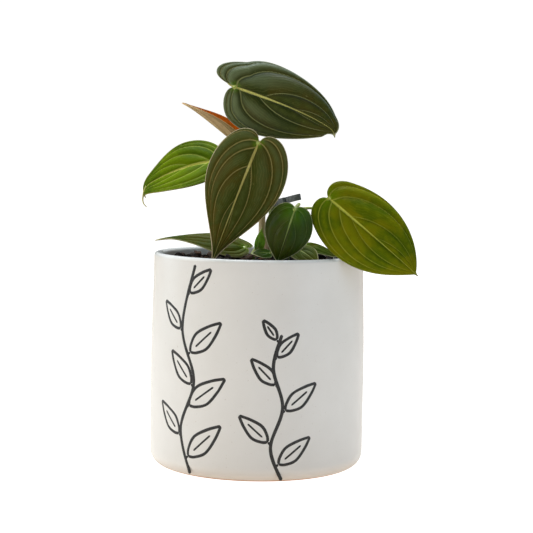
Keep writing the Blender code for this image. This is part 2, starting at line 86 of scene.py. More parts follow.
camera_data = bpy.data.cameras.new("camera")
camera_data.lens = LENS
camera_data.sensor_width = 36.0
camera = bpy.data.objects.new("camera", camera_data)
level = Matrix.Rotation(math.radians(90 - CAMERA_DOWN), 4, "X")
lean = Matrix.Rotation(math.radians(CAMERA_LEAN), 4, "Z")
camera.matrix_world = Matrix.Translation(CAMERA_PLACE) @ level @ lean
bpy.context.scene.collection.objects.link(camera)
bpy.context.scene.camera = camera
print("camera", round(-CAMERA_PLACE[1], 3), "m in front of the pot's axis")

# %% [markdown]
# ## Finishes as node trees
#
# Each material is one Principled shader whose colour, roughness and bump come from
# patterns. Nodes written out by hand hide the idea behind plumbing. So begin()
# starts a material, a few short helpers add nodes to it, and shade() links the
# patterns to its shader. A value may be a number, a colour or another node's
# output.


# %% Short ways to build a node tree
def plug(socket, value):
    """Links an output to a socket, or sets the socket to a number or a colour."""
    if isinstance(value, bpy.types.NodeSocket):
        tree.links.new(value, socket)
    else:
        socket.default_value = (*value, 1.0) if socket.type == "RGBA" else value


def begin(name, **constants):
    """Starts a material, and sets constants such as IOR on its shader."""
    global material, tree, shader
    material = bpy.data.materials.new(name)
    material.use_nodes = True
    tree = material.node_tree
    shader = tree.nodes["Principled BSDF"].inputs
    for key, value in constants.items():
        plug(shader[key.replace("_", " ")], value)


def shade(colour, roughness, bump):
    """Gives the material begun last its patterns, and returns it."""
    plug(shader["Base Color"], colour)
    plug(shader["Roughness"], roughness)
    plug(shader["Normal"], bump)
    return material


def add(kind, inputs, **settings):
    """Adds a shader node. inputs maps socket names or numbers to values."""
    made = tree.nodes.new("ShaderNode" + kind)
    for name, value in settings.items():
        setattr(made, name, value)
    for key, value in inputs.items():
        plug(made.inputs[key], value)
    return made


def blend(share, first, second):
    """Mixes two colours by a share from 0 to 1."""
    return add("Mix", {0: share, 6: first, 7: second}, data_type="RGBA").outputs[2]


def maths(operation, first, second=0.0, third=0.0):
    """One step of arithmetic on numbers."""
    return add("Math", {0: first, 1: second, 2: third}, operation=operation).outputs[0]


def times(first, second):
    return maths("MULTIPLY", first, second)


def fade(value, start, end, low=0.0, high=1.0):
    """low where value is at start, high where it is at end, and smooth between."""
    ends = {0: value, 1: start, 2: end, 3: low, 4: high}
    return add("MapRange", ends, interpolation_type="SMOOTHSTEP").outputs[0]


def own_place():
    return add("TexCoord", {}).outputs["Object"]


def speckle(scale, detail=3.0, roughness=0.5, distortion=0.0, upright=None):
    """Cloudy noise from 0 to 1, scale waves per metre, and upright times as many along Z."""
    where = own_place()
    if upright:
        where = add("Mapping", {"Vector": where, "Scale": (1.0, 1.0, upright)}).outputs[0]
    inputs = {"Vector": where, "Scale": scale, "Detail": detail, "Roughness": roughness}
    return add("TexNoise", {**inputs, "Distortion": distortion}).outputs["Fac"]


def carried(name):
    """A number that the mesh carries at each of its points."""
    return add("Attribute", {}, attribute_name=name).outputs["Fac"]


def relief(height, strength, distance, under=None):
    """Bump from a height pattern. distance is the height in metres."""
    inputs = {"Height": height, "Strength": strength, "Distance": distance}
    if under is not None:
        inputs["Normal"] = under
    return add("Bump", inputs).outputs[0]


# %% [markdown]
# ## Keeping a piece
#
# A finished piece stays at the origin with its place in its mesh, as the CAD nodes
# are. It rides on the one body and stands for the CAD nodes that it covers, which
# are hidden.


# %% Keep a mesh as a piece of the plant
def link(name, bm, *finishes, smooth=True):
    """An object from a bmesh, with its materials."""
    mesh = bpy.data.meshes.new(name)
    bm.to_mesh(mesh)
    bm.free()
    if smooth:
        mesh.shade_smooth()
    for finish in finishes:
        mesh.materials.append(finish)
    obj = bpy.data.objects.new(name, mesh)
    bpy.context.scene.collection.objects.link(obj)
    return obj


def keep(obj, slot, *nodes):
    """Puts a piece on the one body and hides the CAD nodes that it stands for. slot is not used.
    """
    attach(obj, "root")
    if nodes:
        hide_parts(*nodes)
    return obj


# %% [markdown]
# ## The glaze
#
# The planter is white earthenware under a clear, slightly warm glaze. A dipped
# glaze is never quite flat: it has slow waves, a faint mottle and a few iron
# specks. The potter wipes the foot clean so that it doesn't stick to the kiln
# shelf, which leaves a thin line of bare orange clay with thinner glaze above it.
# That band is greyer, partly from the thin glaze and partly as painted shade, darker
# towards the bottom. Height above the table tells them apart.

# %% Glazed earthenware
begin("white_glaze", IOR=1.5, Specular_IOR_Level=0.4)
height = add("SeparateXYZ", {0: own_place()}).outputs["Z"]
mottle = speckle(55, 4, 0.55)
white = blend(mottle, (0.8, 0.785, 0.755), (0.86, 0.85, 0.825))
specks = fade(speckle(900, 1), 0.74, 0.8, 0.0, 0.35)
white = blend(specks, white, (0.42, 0.33, 0.25))
# Greyer towards the foot: partly the thinner glaze, partly painted shade, darker near the bottom.
thin = fade(height, 0.0012, 0.0085, 0.24, 0.0)
white = blend(thin, white, (0.36, 0.32, 0.28))
clay = blend(speckle(700, 3), (0.36, 0.155, 0.045), (0.54, 0.27, 0.09))
glazed = fade(maths("ADD", height, times(mottle, 0.0009)), 0.0016, 0.002)
waves = relief(speckle(42, 1), 0.35, 0.0006)
glaze = shade(
    blend(glazed, clay, white),
    fade(glazed, 0.0, 1.0, 0.85, 0.24),
    relief(speckle(420, 2), 0.06, 0.0002, waves),
)
print("made", glaze.name)

# %% [markdown]
# ## The pot
#
# A slip-cast cylinder is a turned shape, so its section is drawn once and spun
# about the axis. The wall swells a little towards the middle, the rim is fully
# rounded, and the foot has a generous round corner. The section runs from the inner
# floor to the middle of the base, so the spin makes a closed shell with a true
# wall.

# %% Pot
_, pot_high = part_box("pot")
POT_HEIGHT = pot_high.z
BODY_RADIUS = pot_high.x
RIM_RADIUS = 66 * MM
WALL = 4.5 * MM
FOOT_CORNER = 9.5 * MM
INNER_CORNER = 6.5 * MM
POT_FLOOR = 7 * MM
POT_STEPS = 192


def smooth_share(x):
    x = np.clip(x, 0.0, 1.0)
    return x * x * (3 - 2 * x)


def pot_radius(height):
    share = smooth_share((POT_HEIGHT - height) / (0.5 * POT_HEIGHT))
    return RIM_RADIUS + (BODY_RADIUS - RIM_RADIUS) * share


def arc(centre, radius, start, end, steps):
    angles = np.radians(np.linspace(start, end, steps + 1))
    return [(centre[0] + radius * math.cos(a), centre[1] + radius * math.sin(a)) for a in angles]


def spun(name, profile, steps):
    """A bmesh turned about Z from a section of (radius, height) points."""
    bm = bmesh.new()
    verts = [bm.verts.new((radius, 0.0, height)) for radius, height in profile]
    for a, b in zip(verts, verts[1:]):
        bm.edges.new((a, b))
    bmesh.ops.spin(
        bm, geom=bm.verts[:] + bm.edges[:], cent=(0, 0, 0), axis=(0, 0, 1),
        angle=math.tau, steps=steps, use_merge=True,
    )
    bmesh.ops.remove_doubles(bm, verts=bm.verts, dist=0.01 * MM)
    bmesh.ops.recalc_face_normals(bm, faces=bm.faces)
    print(name, "spun:", len(bm.faces), "faces")
    return bm


lip = WALL / 2
heights = np.linspace(0.92, 0.12, 28) * POT_HEIGHT
corner = (BODY_RADIUS - WALL - INNER_CORNER, POT_FLOOR + INNER_CORNER)
pot_section = [
    (0.0, POT_FLOOR),
    *arc(corner, INNER_CORNER, -90, 0, 8),
    *((pot_radius(h) - WALL, h) for h in reversed(heights)),
    *arc((RIM_RADIUS - lip, POT_HEIGHT - lip), lip, 180, 0, 16),
    *((pot_radius(h), h) for h in heights),
    *arc((BODY_RADIUS - FOOT_CORNER, FOOT_CORNER), FOOT_CORNER, 0, -90, 20),
    (0.0, 0.0),
]
keep(link("pot_body", spun("pot", pot_section, POT_STEPS), glaze), "glazed_pot", "pot")

# %% [markdown]
# ## The line drawing
#
# The planter is decorated with loose brush lines in black underglaze: two plain
# climbing sprigs with almond leaves. Each stroke is a ribbon about two millimetres
# wide that stands proud of the wall by a tenth. It starts as a flat grid, and every
# vertex is then laid on the wall along the stroke's path, where the width swells
# and thins as a brush does.

# %% Black underglaze
begin("black_underglaze", IOR=1.5)
thin = speckle(800)
underglaze = shade(
    blend(fade(thin, 0.45, 0.8), (0.012, 0.013, 0.014), (0.045, 0.044, 0.042)),
    fade(thin, 0.2, 0.8, 0.28, 0.5),
    relief(thin, 0.3, 0.0002),
)


# %% Lines through points
def catmull(points, per_span):
    """A smooth curve through points, as an array with per_span points in each span."""
    points = np.array(points, float)
    padded = np.vstack([points[:1], points, points[-1:]])
    line = []
    for i in range(len(points) - 1):
        p0, p1, p2, p3 = padded[i : i + 4]
        for t in np.arange(per_span) / per_span:
            a = -0.5 * p0 + 1.5 * p1 - 1.5 * p2 + 0.5 * p3
            b = p0 - 2.5 * p1 + 2.0 * p2 - 0.5 * p3
            line.append(((a * t + b) * t - 0.5 * p0 + 0.5 * p2) * t + p1)
    return np.array([*line, points[-1]])


def way_along(line):
    """How far along a line each of its points is."""
    return np.r_[0, np.cumsum(np.linalg.norm(np.diff(line, axis=0), axis=1))]


def read(at, values, where):
    """Rows of values, which are known at the steps at, read off where."""
    return np.stack([np.interp(where, at, column) for column in values.T], -1)


def dome(share, least=0.0):
    """The height of a quarter circle, from least at share 0 to 1 at share 1."""
    return np.sqrt(np.clip(1 - (1 - np.clip(share, 0, 1)) ** 2, least, 1))


# %% Brush strokes on the wall
STROKE_WIDTH = 2.0 * MM
STROKE_RISE = 0.1 * MM
STROKE_SUNK = 0.25 * MM
STROKE_STEP = 0.8 * MM
BRUSH_REACH = 0.3 * MM


def stroke(bm, points, weight):
    """Lays one brush stroke on the wall through points of (way round, height) in millimetres."""
    line = catmull(np.array(points) * MM, 24)
    lengths = way_along(line)
    end = lengths[-1]
    steps = max(6, round(end / STROKE_STEP))
    made = bmesh.ops.create_grid(bm, x_segments=6, y_segments=steps, size=1.0)
    for vertex in made["verts"]:
        v, at = vertex.co.x, (vertex.co.y + 1) / 2 * end
        x, z = read(lengths, line, at)
        ahead = read(lengths, line, min(at + BRUSH_REACH, end))
        dx, dz = ahead - read(lengths, line, max(at - BRUSH_REACH, 0.0))
        size = max(math.hypot(dx, dz), 1e-9)
        round_end = dome(min(at, end - at) / (0.5 * STROKE_WIDTH))
        wobble = 1 + 0.1 * noise.noise(Vector((x, z, 0)) / (7 * MM))
        half = 0.5 * STROKE_WIDTH * weight * wobble * max(round_end, 0.02)
        rise = STROKE_RISE * (1 - v * v) * (0.3 + 0.7 * round_end) + 0.01 * MM
        angle, height = (x + v * half * dz / size) / BODY_RADIUS, z - v * half * dx / size
        radius = pot_radius(height) + rise
        vertex.co = (radius * math.sin(angle), -radius * math.cos(angle), height)


# %% Two sprigs
ALMOND = [(0.12, 0.55), (0.38, 1.0), (0.72, 0.62)]  # share of its length, share of its belly
BELLY = 0.20


def sprig(name, stem, leaves):
    """A stem and its leaves. leaves lists (share up the stem, side, length, lift)."""
    bm = bmesh.new()
    stroke(bm, stem, 1.05)
    line = catmull(stem, 24)
    for share, side, length, lift in leaves:
        spot = line[round(share * (len(line) - 1))]
        angle = math.radians(lift)
        way = np.array((side * math.cos(angle), math.sin(angle)))
        root, tip = spot + way * 2.5, spot + way * length
        stroke(bm, [spot, spot + way * 1.6, root], 0.8)
        for belly in (BELLY, -BELLY):
            out = np.array((root[1] - tip[1], tip[0] - root[0])) * belly
            stroke(bm, [root, *(root + (tip - root) * a + out * b for a, b in ALMOND), tip], 0.9)
        stroke(bm, [root + (tip - root) * 0.18, root + (tip - root) * 0.7], 0.6)
    obj = keep(link(name, bm, underglaze), None)
    solid = obj.modifiers.new("into the wall", "SOLIDIFY")
    solid.thickness = STROKE_SUNK
    solid.offset = -1.0
    print(name, "has", len(leaves), "leaves")


TALL_LEAVES = [
    (0.1, 1, 33, 42), (0.21, -1, 28, 44), (0.36, 1, 33, 36), (0.47, -1, 28, 48),
    (0.62, 1, 31, 42), (0.73, -1, 25, 44), (0.86, 1, 24, 44),
]
LOW_LEAVES = [
    (0.12, 1, 28, 38), (0.27, -1, 26, 42), (0.47, 1, 28, 38), (0.62, -1, 24, 46),
    (0.8, 1, 22, 46), (0.92, -1, 17, 54),
]
sprig("tall_sprig", [(-42, 3), (-50, 30), (-40, 60), (-50, 92), (-41, 130)], TALL_LEAVES)
sprig("low_sprig", [(16, 2), (9, 22), (16, 46), (10, 70), (15, 90)], LOW_LEAVES)

# %% [markdown]
# ## Potting mix
#
# Aroid mix is dark, fibrous and open: composted bark and coir with a few orange
# brown splinters. A flat brown disc would never pass for it, so its top is a fine
# spun disc with clods raised by noise, and hundreds of loose crumbs lie on it, each
# with its own tone for the one material to colour.


# %% Finish of the mix and the bark
def mix_finish(name, tones):
    """Dark crumbly matter. tones is a ramp of (position, colour) over each crumb's tone."""
    begin(name, Specular_IOR_Level=0.3)
    fine = speckle(900, 5, 0.65)
    mixed = maths("ADD", carried("tone"), times(maths("SUBTRACT", fine, 0.5), 0.5))
    ramp = add("ValToRGB", {"Fac": mixed})
    stops = ramp.color_ramp.elements
    while len(stops) < len(tones):
        stops.new(1.0)
    for stop, (position, colour) in zip(stops, tones):
        stop.position = position
        stop.color = (*colour, 1)
    fibres = speckle(1500, 4, 0.6, upright=3.5)
    return shade(
        ramp.outputs["Color"], fade(fine, 0.2, 0.8, 0.75, 0.98),
        relief(fibres, 0.7, 0.0006),
    )


mix_brown = mix_finish("potting_mix", [
    (0.05, (0.01, 0.007, 0.005)), (0.45, (0.03, 0.018, 0.011)),
    (0.7, (0.085, 0.043, 0.022)), (0.95, (0.26, 0.115, 0.045)),
])
bark_brown = mix_finish("bark", [
    (0.1, (0.055, 0.026, 0.014)), (0.5, (0.15, 0.062, 0.027)), (0.9, (0.34, 0.165, 0.075)),
])

# %% The bed of mix
FIT = 0.35 * MM  # clearance between the CAD solids
MIX_LEVEL = POT_HEIGHT - 6.6 * MM
MIX_MOUND = 2.0 * MM
MIX_LUMPS = 0.25 * MM
MIX_EDGE = pot_radius(MIX_LEVEL) - WALL - FIT
MIX_RINGS = 70
MIX_STEPS = 220
CLOD = 1.92 * MM


def clods(x, y):
    """Small lumps of the top, from 0 to 1."""
    spot = Vector((x, y, 0)) / (4.5 * MM)
    return 0.5 + 0.5 * noise.fractal(spot, 0.7, 2.1, 4)


def mix_top(x, y):
    """Height of the mix: the slow mound of the CAD solid, and the clods on it."""
    r = math.hypot(x, y) / (MIX_EDGE + FIT)
    u, v = x / (9 * MM), y / (9 * MM)
    lumps = math.sin(u + 0.6) * math.cos(1.3 * v) + math.sin(0.7 * u - 1.1 * v + 2.0)
    mound = MIX_LEVEL + MIX_MOUND * max(0.0, 1 - r * r) + MIX_LUMPS * lumps
    return mound + CLOD * (clods(x, y) - 0.5)


low = POT_FLOOR + FIT
corner = (BODY_RADIUS - WALL - FIT - INNER_CORNER, low + INNER_CORNER)
bm = spun("mix", [
    *((MIX_EDGE * i / MIX_RINGS, MIX_LEVEL) for i in range(MIX_RINGS + 1)),
    *((pot_radius(h) - WALL - FIT, h) for h in np.linspace(0.9, 0.12, 9) * POT_HEIGHT),
    *arc(corner, INNER_CORNER, 0, -90, 4),
    (0.0, low),
], MIX_STEPS)
tone = bm.verts.layers.float.new("tone")
for vertex in bm.verts:
    vertex[tone] = 0.35
    if vertex.co.z > MIX_LEVEL - 0.1 * MM:
        x, y, _ = vertex.co
        vertex.co.z = mix_top(x, y)
        vertex[tone] = 0.15 + 0.5 * clods(x, y)
keep(link("mix_bed", bm, mix_brown), "potting_mix", "potting_mix")

# %% [markdown]
# The loose crumbs are squashed icospheres of twenty faces each. A seeded random
# generator picks size, place, turn and tone, so that the result is the same on
# every run. Small dark crumbs are many, larger orange-brown ones few.

# %% Loose crumbs, splinters and chunks
CRUMB_SEED = 11
JAG = 0.28


def litter(name, count, sizes, shape, tones, fineness=1):
    """Scatters crumbs stretched by shape. sizes (mm) and tones are the ranges of the draws."""
    dice = random.Random(f"{CRUMB_SEED}{name}")
    bm = bmesh.new()
    layer = bm.verts.layers.float.new("tone")
    for _ in range(count):
        size = dice.uniform(*sizes) * MM
        tone = dice.uniform(*tones)
        reach = (MIX_EDGE - 0.9 * size) * math.sqrt(dice.random())
        angle = dice.uniform(0, math.tau)
        x, y = reach * math.cos(angle), reach * math.sin(angle)
        turn = Matrix.Rotation(dice.uniform(0, math.tau), 4, "Z")
        tilt = Matrix.Rotation(dice.gauss(0, 0.35), 4, "X")
        made = bmesh.ops.create_icosphere(bm, subdivisions=fineness, radius=0.5)
        move = Matrix.Translation((x, y, mix_top(x, y) + 0.25 * size * shape[2])) @ turn @ tilt
        for vertex in made["verts"]:
            jag = 1 + dice.uniform(-JAG, JAG)
            vertex.co = move @ Vector([vertex.co[k] * size * shape[k] * jag for k in range(3)])
            vertex[layer] = tone
    keep(link(name, bm, mix_brown, smooth=False), "potting_mix")
    print(name, count, "crumbs")


litter("mix_crumbs", 900, (0.9, 2.4), (1.0, 0.8, 0.7), (0.05, 0.75))
litter("mix_splinters", 260, (2.5, 5.5), (1.0, 0.28, 0.22), (0.35, 1.0))
litter("mix_chunks", 190, (3.0, 6.8), (1.0, 0.75, 0.85), (0.0, 0.62), 2)

# %% [markdown]
# ## Bark chips
#
# Eight larger chips are CAD solids of their own. Real bark splits in flat slabs
# with a ragged end, so each chip is a cube cut into small faces, jittered by
# noise that is drawn out along its length, and set into its CAD node's box.

# %% Bark chips
CHIP_FILL = 0.86
chips = sorted(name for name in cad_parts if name.startswith("bark_chip_"))
for index, node in enumerate(chips):
    low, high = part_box(node)
    centre, size = (low + high) / 2, (high - low) * CHIP_FILL
    bm = bmesh.new()
    bmesh.ops.create_cube(bm, size=1.0)
    bmesh.ops.subdivide_edges(bm, edges=bm.edges, cuts=7, use_grid_fill=True)
    layer = bm.verts.layers.float.new("tone")
    for vertex in bm.verts:
        x, y, z = vertex.co
        spot = Vector((x * 2.2, y * 7, z * 5 + index * 9))
        ragged = 1 + 0.22 * noise.fractal(spot, 0.6, 2.0, 3)
        ragged *= 1 - 0.44 * (x * x + y * y)
        vertex[layer] = 0.5 + 0.5 * noise.noise(spot * 1.4)
        vertex.co = centre + vertex.co * size * ragged
    keep(link(node + "_slab", bm, bark_brown), "bark", node)
print(len(chips), "bark chips")

# %% [markdown]
# ## Stems, stalks and roots
#
# A vine is a tube whose thickness changes along its way: it swells where a leaf
# grew and is ringed by the scar. A curve with a round bevel makes such a tube, with
# a radius at each point, and is turned into a mesh at once, so that its place stays
# in the mesh.


# %% Tubes that change thickness
def add_line(curve, points, radii=None):
    """Adds a line of straight spans to a curve, with a radius at each point."""
    spline = curve.splines.new("POLY")
    spline.points.add(len(points) - 1)
    for i, place in enumerate(points):
        spline.points[i].co = (*place, 1.0)
        if radii is not None:
            spline.points[i].radius = radii[i]
    return spline


def from_curve(curve, merge):
    """A bmesh of a curve's surface, with the points nearer than merge joined."""
    obj = bpy.data.objects.new(curve.name, curve)
    mesh = bpy.data.meshes.new_from_object(obj)
    bpy.data.objects.remove(obj)
    bm = bmesh.new()
    bm.from_mesh(mesh)
    bpy.data.meshes.remove(mesh)
    bmesh.ops.remove_doubles(bm, verts=bm.verts, dist=merge)
    return bm


def tube(points, radii, sides=14):
    """A round bmesh along points, with a radius in metres for each of them."""
    curve = bpy.data.curves.new("tube", "CURVE")
    curve.dimensions = "3D"
    curve.bevel_depth = 1.0
    curve.bevel_resolution = sides // 2 - 2
    curve.use_fill_caps = True
    add_line(curve, points, radii)
    bm = from_curve(curve, 0.005 * MM)
    bmesh.ops.recalc_face_normals(bm, faces=bm.faces)
    return bm


def tapered_tube(way, radius, end_share, profile=None):
    """A tube through way whose radius falls to end_share of itself, with a rounded end."""
    points = catmull(way, 14)
    shares = np.linspace(0, 1, len(points))
    radii = radius * (1 - (1 - end_share) * shares)
    if profile is not None:
        radii *= profile(shares)
    length = way_along(points)[-1]
    return tube(points, radii * dome((1 - shares) * length / radii[-1], 0.02))


# %% Green skins
def green_finish(name, shade_side, light_side, blush, roughness=0.45):
    """A fleshy green skin with fine lengthwise streaks and a few corky flecks."""
    begin(name, Sheen_Weight=0.1, Subsurface_Weight=0.12, Subsurface_Scale=0.002)
    streaks = speckle(1400, upright=0.12)
    cloud = speckle(130)
    skin = blend(fade(streaks, 0.3, 0.7), shade_side, light_side)
    skin = blend(fade(cloud, 0.5, 0.75), skin, blush)
    flecks = fade(speckle(700, 2), 0.66, 0.74, 0.0, 0.5)
    return shade(
        blend(flecks, skin, (0.3, 0.24, 0.12)),
        fade(cloud, 0.2, 0.8, roughness - 0.08, roughness + 0.1),
        relief(streaks, 0.35, 0.0003),
    )


stem_green = green_finish("stem_green", (0.1, 0.16, 0.03), (0.22, 0.3, 0.07), (0.2, 0.15, 0.06))
stalk_green = green_finish("stalk_green", (0.34, 0.44, 0.08), (0.5, 0.6, 0.16), (0.46, 0.44, 0.14))

# %% The vine and its side shoots
# Centre lines as (x, y, z, radius), the same as the CAD solids', and the heights
# where a leaf grew, all in millimetres.
STEMS = {
    "main_stem": ([
        (9.0, 1.0, 101.0, 3.0), (9.0, 1.0, 134.0, 3.1), (9.0, 0.6, 150.0, 3.1),
        (8.6, 0.4, 160.0, 3.0), (7.4, 0.2, 168.0, 2.9), (3.0, -0.3, 178.0, 2.8),
        (-2.5, 0.0, 187.0, 2.7), (-8.0, 2.0, 196.5, 2.5),
    ], [131, 148, 156, 174, 180, 189]),
    "left_shoot": (
        [(-4.5, -6.5, 108.0, 2.0), (-4.5, -6.5, 129.0, 2.0), (-4.3, -6.5, 133.0, 1.8)], [131.6],
    ),
    "right_shoot": (
        [(17.0, -6.0, 108.0, 2.1), (17.0, -6.0, 131.0, 2.2), (17.4, -6.0, 135.0, 2.0)], [131.5],
    ),
}
JOINT_SWELL = 0.14
JOINT_SCAR = 0.08
JOINT_LENGTH = 1.5 * MM
ROUND_TOP = 1.2 * MM


def stem_line(name):
    line = catmull(STEMS[name][0], 20) * MM
    return line[:, :3], line[:, 3]


for name, (_, joints) in STEMS.items():
    points, radii = stem_line(name)
    swell = np.ones(len(points))
    for joint in joints:
        off = (points[:, 2] - joint * MM) / JOINT_LENGTH
        swell += JOINT_SWELL * np.exp(-off * off) - JOINT_SCAR * np.exp(-((off - 0.9) * 3) ** 2)
    from_top = way_along(points[::-1])[::-1]
    radii = radii * np.minimum(swell, 1.1) * dome(from_top / ROUND_TOP, 0.03)
    keep(link("vine_" + name, tube(points, radii, 20), stem_green), "stem", name)
print(len(STEMS), "stems")

# %% [markdown]
# ## Aerial roots
#
# A climbing philodendron grips with short brown roots that leave the stem below
# a leaf. They are thin tubes that taper, with a corky skin.

# %% Aerial roots
begin("root_skin", Specular_IOR_Level=0.3)
rings = speckle(900, 4, 0.6, upright=2.6)
root_skin = shade(
    blend(rings, (0.16, 0.085, 0.04), (0.4, 0.26, 0.15)),
    fade(rings, 0.2, 0.8, 0.7, 0.95), relief(rings, 0.6, 0.0004),
)
# The height where each root leaves the main stem, points on its way, and its radius.
AERIAL_ROOTS = {
    "aerial_root_upper": (176.5, [(5.0, 6.0, 175.0), (6.0, 9.0, 170.0)], 0.7),
    "aerial_root_lower": (147.0, [(15.0, 3.6, 144.0), (17.5, 5.0, 139.0)], 0.8),
}


def stem_centre(name, height):
    """The middle of a stem at a height in millimetres, or its top where height is None."""
    points, _ = stem_line(name)
    return points[-1] if height is None else read(points[:, 2], points, height * MM)


for name, (height, way, radius) in AERIAL_ROOTS.items():
    path = [stem_centre("main_stem", height), *(np.array(way) * MM)]
    root = link(name + "_skin", tapered_tube(path, radius * MM, 0.5), root_skin)
    keep(root, "aerial_root", name)
print(len(AERIAL_ROOTS), "aerial roots")

# %% [markdown]
# ## The bamboo cane
#
# The plant is held by a short split of bamboo, straw-coloured, with fine lengthwise
# fibres and a ring wherever the culm had its joint. It is a spun section: straight
# runs with a small collar at each joint, and a sawn top that shows the hollow.

# %% Bamboo cane
begin("bamboo_skin", Coat_Weight=0.1, Coat_Roughness=0.35)
fibres = speckle(2600, 4, 0.6, upright=0.03)
straw = blend(fade(fibres, 0.3, 0.72), (0.56, 0.41, 0.23), (0.8, 0.67, 0.45))
stains = fade(speckle(90), 0.45, 0.8, 0.0, 0.6)
bamboo_skin = shade(
    blend(stains, straw, (0.42, 0.29, 0.15)),
    fade(fibres, 0.2, 0.8, 0.42, 0.65), relief(fibres, 0.5, 0.0003),
)
CANE_JOINTS = [128.0, 158.0]  # heights in mm
CANE_CHAMFER = 0.3 * MM
CANE_COLLAR = 0.07  # how much of the radius stands out at a joint
CANE_HOLLOW = 1.5 * MM

low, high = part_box("bamboo_stake")
cane_middle, cane_radius = (low + high) / 2, (high.x - low.x) / 2
heights = np.arange(low.z, high.z - CANE_CHAMFER, 0.5 * MM)
collar = sum(np.exp(-(((heights / MM) - joint) / 0.7) ** 2) for joint in CANE_JOINTS)
slim = 1 - CANE_COLLAR
bm = spun("cane", [
    (0.0, low.z),
    *((cane_radius * (slim + CANE_COLLAR * c), h) for c, h in zip(collar, heights)),
    (cane_radius * slim - CANE_CHAMFER, high.z), (cane_radius * 0.45, high.z),
    (cane_radius * 0.4, high.z - CANE_HOLLOW), (0.0, high.z - CANE_HOLLOW),
], 28)
bmesh.ops.translate(bm, verts=bm.verts, vec=(cane_middle.x, cane_middle.y, 0))
cane = keep(link("bamboo_cane", bm, bamboo_skin), "bamboo", "bamboo_stake")
cane.data.set_sharp_from_angle(angle=math.radians(50))

# %% [markdown]
# ## The plant tie
#
# A moulded plastic strap holds the vine to the cane: a loop, a thick head that
# locks it, and a free tail with cross ribs. Its outline lies in a plane, so a
# filled 2D curve with an extrude and a small bevel makes it. The ribs are short
# bevelled bars in a row along the tail.

# %% Tie plastic
begin("tie_plastic", IOR=1.48)
wear = speckle(500, 4)
tie_plastic = shade(
    blend(fade(wear, 0.35, 0.75), (0.075, 0.086, 0.09), (0.18, 0.2, 0.205)),
    fade(wear, 0.2, 0.8, 0.34, 0.55),
    relief(speckle(2500, 2), 0.25, 0.0002),
)

# %% Where the tie sits
TIE_WIDTH = 4.0 * MM
TIE_BAND = 1.1 * MM
TIE_HEAD = (7.0 * MM, 4.6 * MM)
TIE_HEAD_JOIN = 0.4 * MM
TIE_HEAD_CORNER = 0.9 * MM
TIE_TAIL = (10 * MM, 1.3 * MM)
TIE_TAIL_LIFT = 2.2 * MM
TIE_HEIGHT = 162 * MM
TIE_TILT = math.radians(15)
TIE_EDGE = 0.22 * MM

UP = Vector((0, 0, 1))
cane_spot = Vector((cane_middle.x, cane_middle.y, TIE_HEIGHT))
across = (Vector(stem_centre("main_stem", TIE_HEIGHT / MM)) - cane_spot).to_2d()
along = across.to_3d().normalized() * math.cos(TIE_TILT) + UP * math.sin(TIE_TILT)
side = UP.cross(along).normalized()
turn = Matrix((along, side, along.cross(side))).transposed()
tie_plane = Matrix.Translation(cane_spot) @ turn.to_4x4()
points, radii = stem_line("main_stem")
slack = TIE_WIDTH / 2 * math.tan(TIE_TILT) + FIT
cane_loop = cane_radius + slack
stem_loop = np.interp(TIE_HEIGHT, points[:, 2], radii) + slack
reach = across.length
print("the tie spans", round(reach / MM, 1), "mm from cane to stem")


# %% Loop, head and tail
def loop(extra):
    """The way round cane and stem, extra outside the strap's inner face."""
    lean = math.degrees(math.asin((stem_loop - cane_loop) / reach))
    back = arc((0, 0), cane_loop + extra, 270 + lean, 90 - lean, 40)
    return [*back, *arc((reach, 0), stem_loop + extra, 90 - lean, -90 + lean, 40)]


start = reach + stem_loop + TIE_BAND - TIE_HEAD_JOIN
end = start + TIE_HEAD_JOIN + TIE_HEAD[0]
tail = [(end + TIE_TAIL[0] * s, TIE_TAIL_LIFT * s * s) for s in np.linspace(0, 1, 16)]
half = TIE_HEAD[1] / 2
head = [(start, half), (end - TIE_HEAD_CORNER, half), (end, half - TIE_HEAD_CORNER)]
round_both = loop(TIE_BAND)
split = 3 * len(round_both) // 4  # the middle of the arc round the stem
outline = [
    *(p for p in round_both[:split] if p[0] < start),
    *head,
    *((x, y + TIE_TAIL[1] / 2) for x, y in tail),
    *((x, y - TIE_TAIL[1] / 2) for x, y in reversed(tail)),
    *((x, -y) for x, y in reversed(head)),
    *(p for p in round_both[split:] if p[0] < start),
]
curve = bpy.data.curves.new("strap", "CURVE")
curve.dimensions = "2D"
curve.fill_mode = "BOTH"
curve.extrude = TIE_WIDTH / 2 - TIE_EDGE
curve.bevel_depth = TIE_EDGE
curve.bevel_resolution = 2
curve.offset = -TIE_EDGE
for line in (outline, loop(0.0)):
    add_line(curve, [(x, y, 0.0) for x, y in line]).use_cyclic_u = True
bm = from_curve(curve, 0.002 * MM)
bmesh.ops.transform(bm, verts=bm.verts, matrix=tie_plane)
strap = keep(link("tie_strap", bm, tie_plastic), "tie", "plant_tie")
strap.data.set_sharp_from_angle(angle=math.radians(40))

# %% Ribs across the tail
RIB_SHARES = np.linspace(0.08, 0.92, 9)
RIB_SIZE = (0.4 * MM, 0.36 * MM, 3.0 * MM)

bm = bmesh.new()
for x, y in read(np.linspace(0, 1, len(tail)), np.array(tail), RIB_SHARES):
    place = Matrix.Translation((x, y + TIE_TAIL[1] / 2, 0)) @ Matrix.Diagonal((*RIB_SIZE, 1))
    bmesh.ops.create_cube(bm, size=1.0, matrix=tie_plane @ place)
bmesh.ops.bevel(
    bm, geom=bm.edges[:], offset=0.08 * MM, offset_type="OFFSET", segments=2, profile=0.5,
    affect="EDGES", material=-1,
)
keep(link("tie_ribs", bm, tie_plastic), "tie")
print("tie with", len(RIB_SHARES), "ribs")

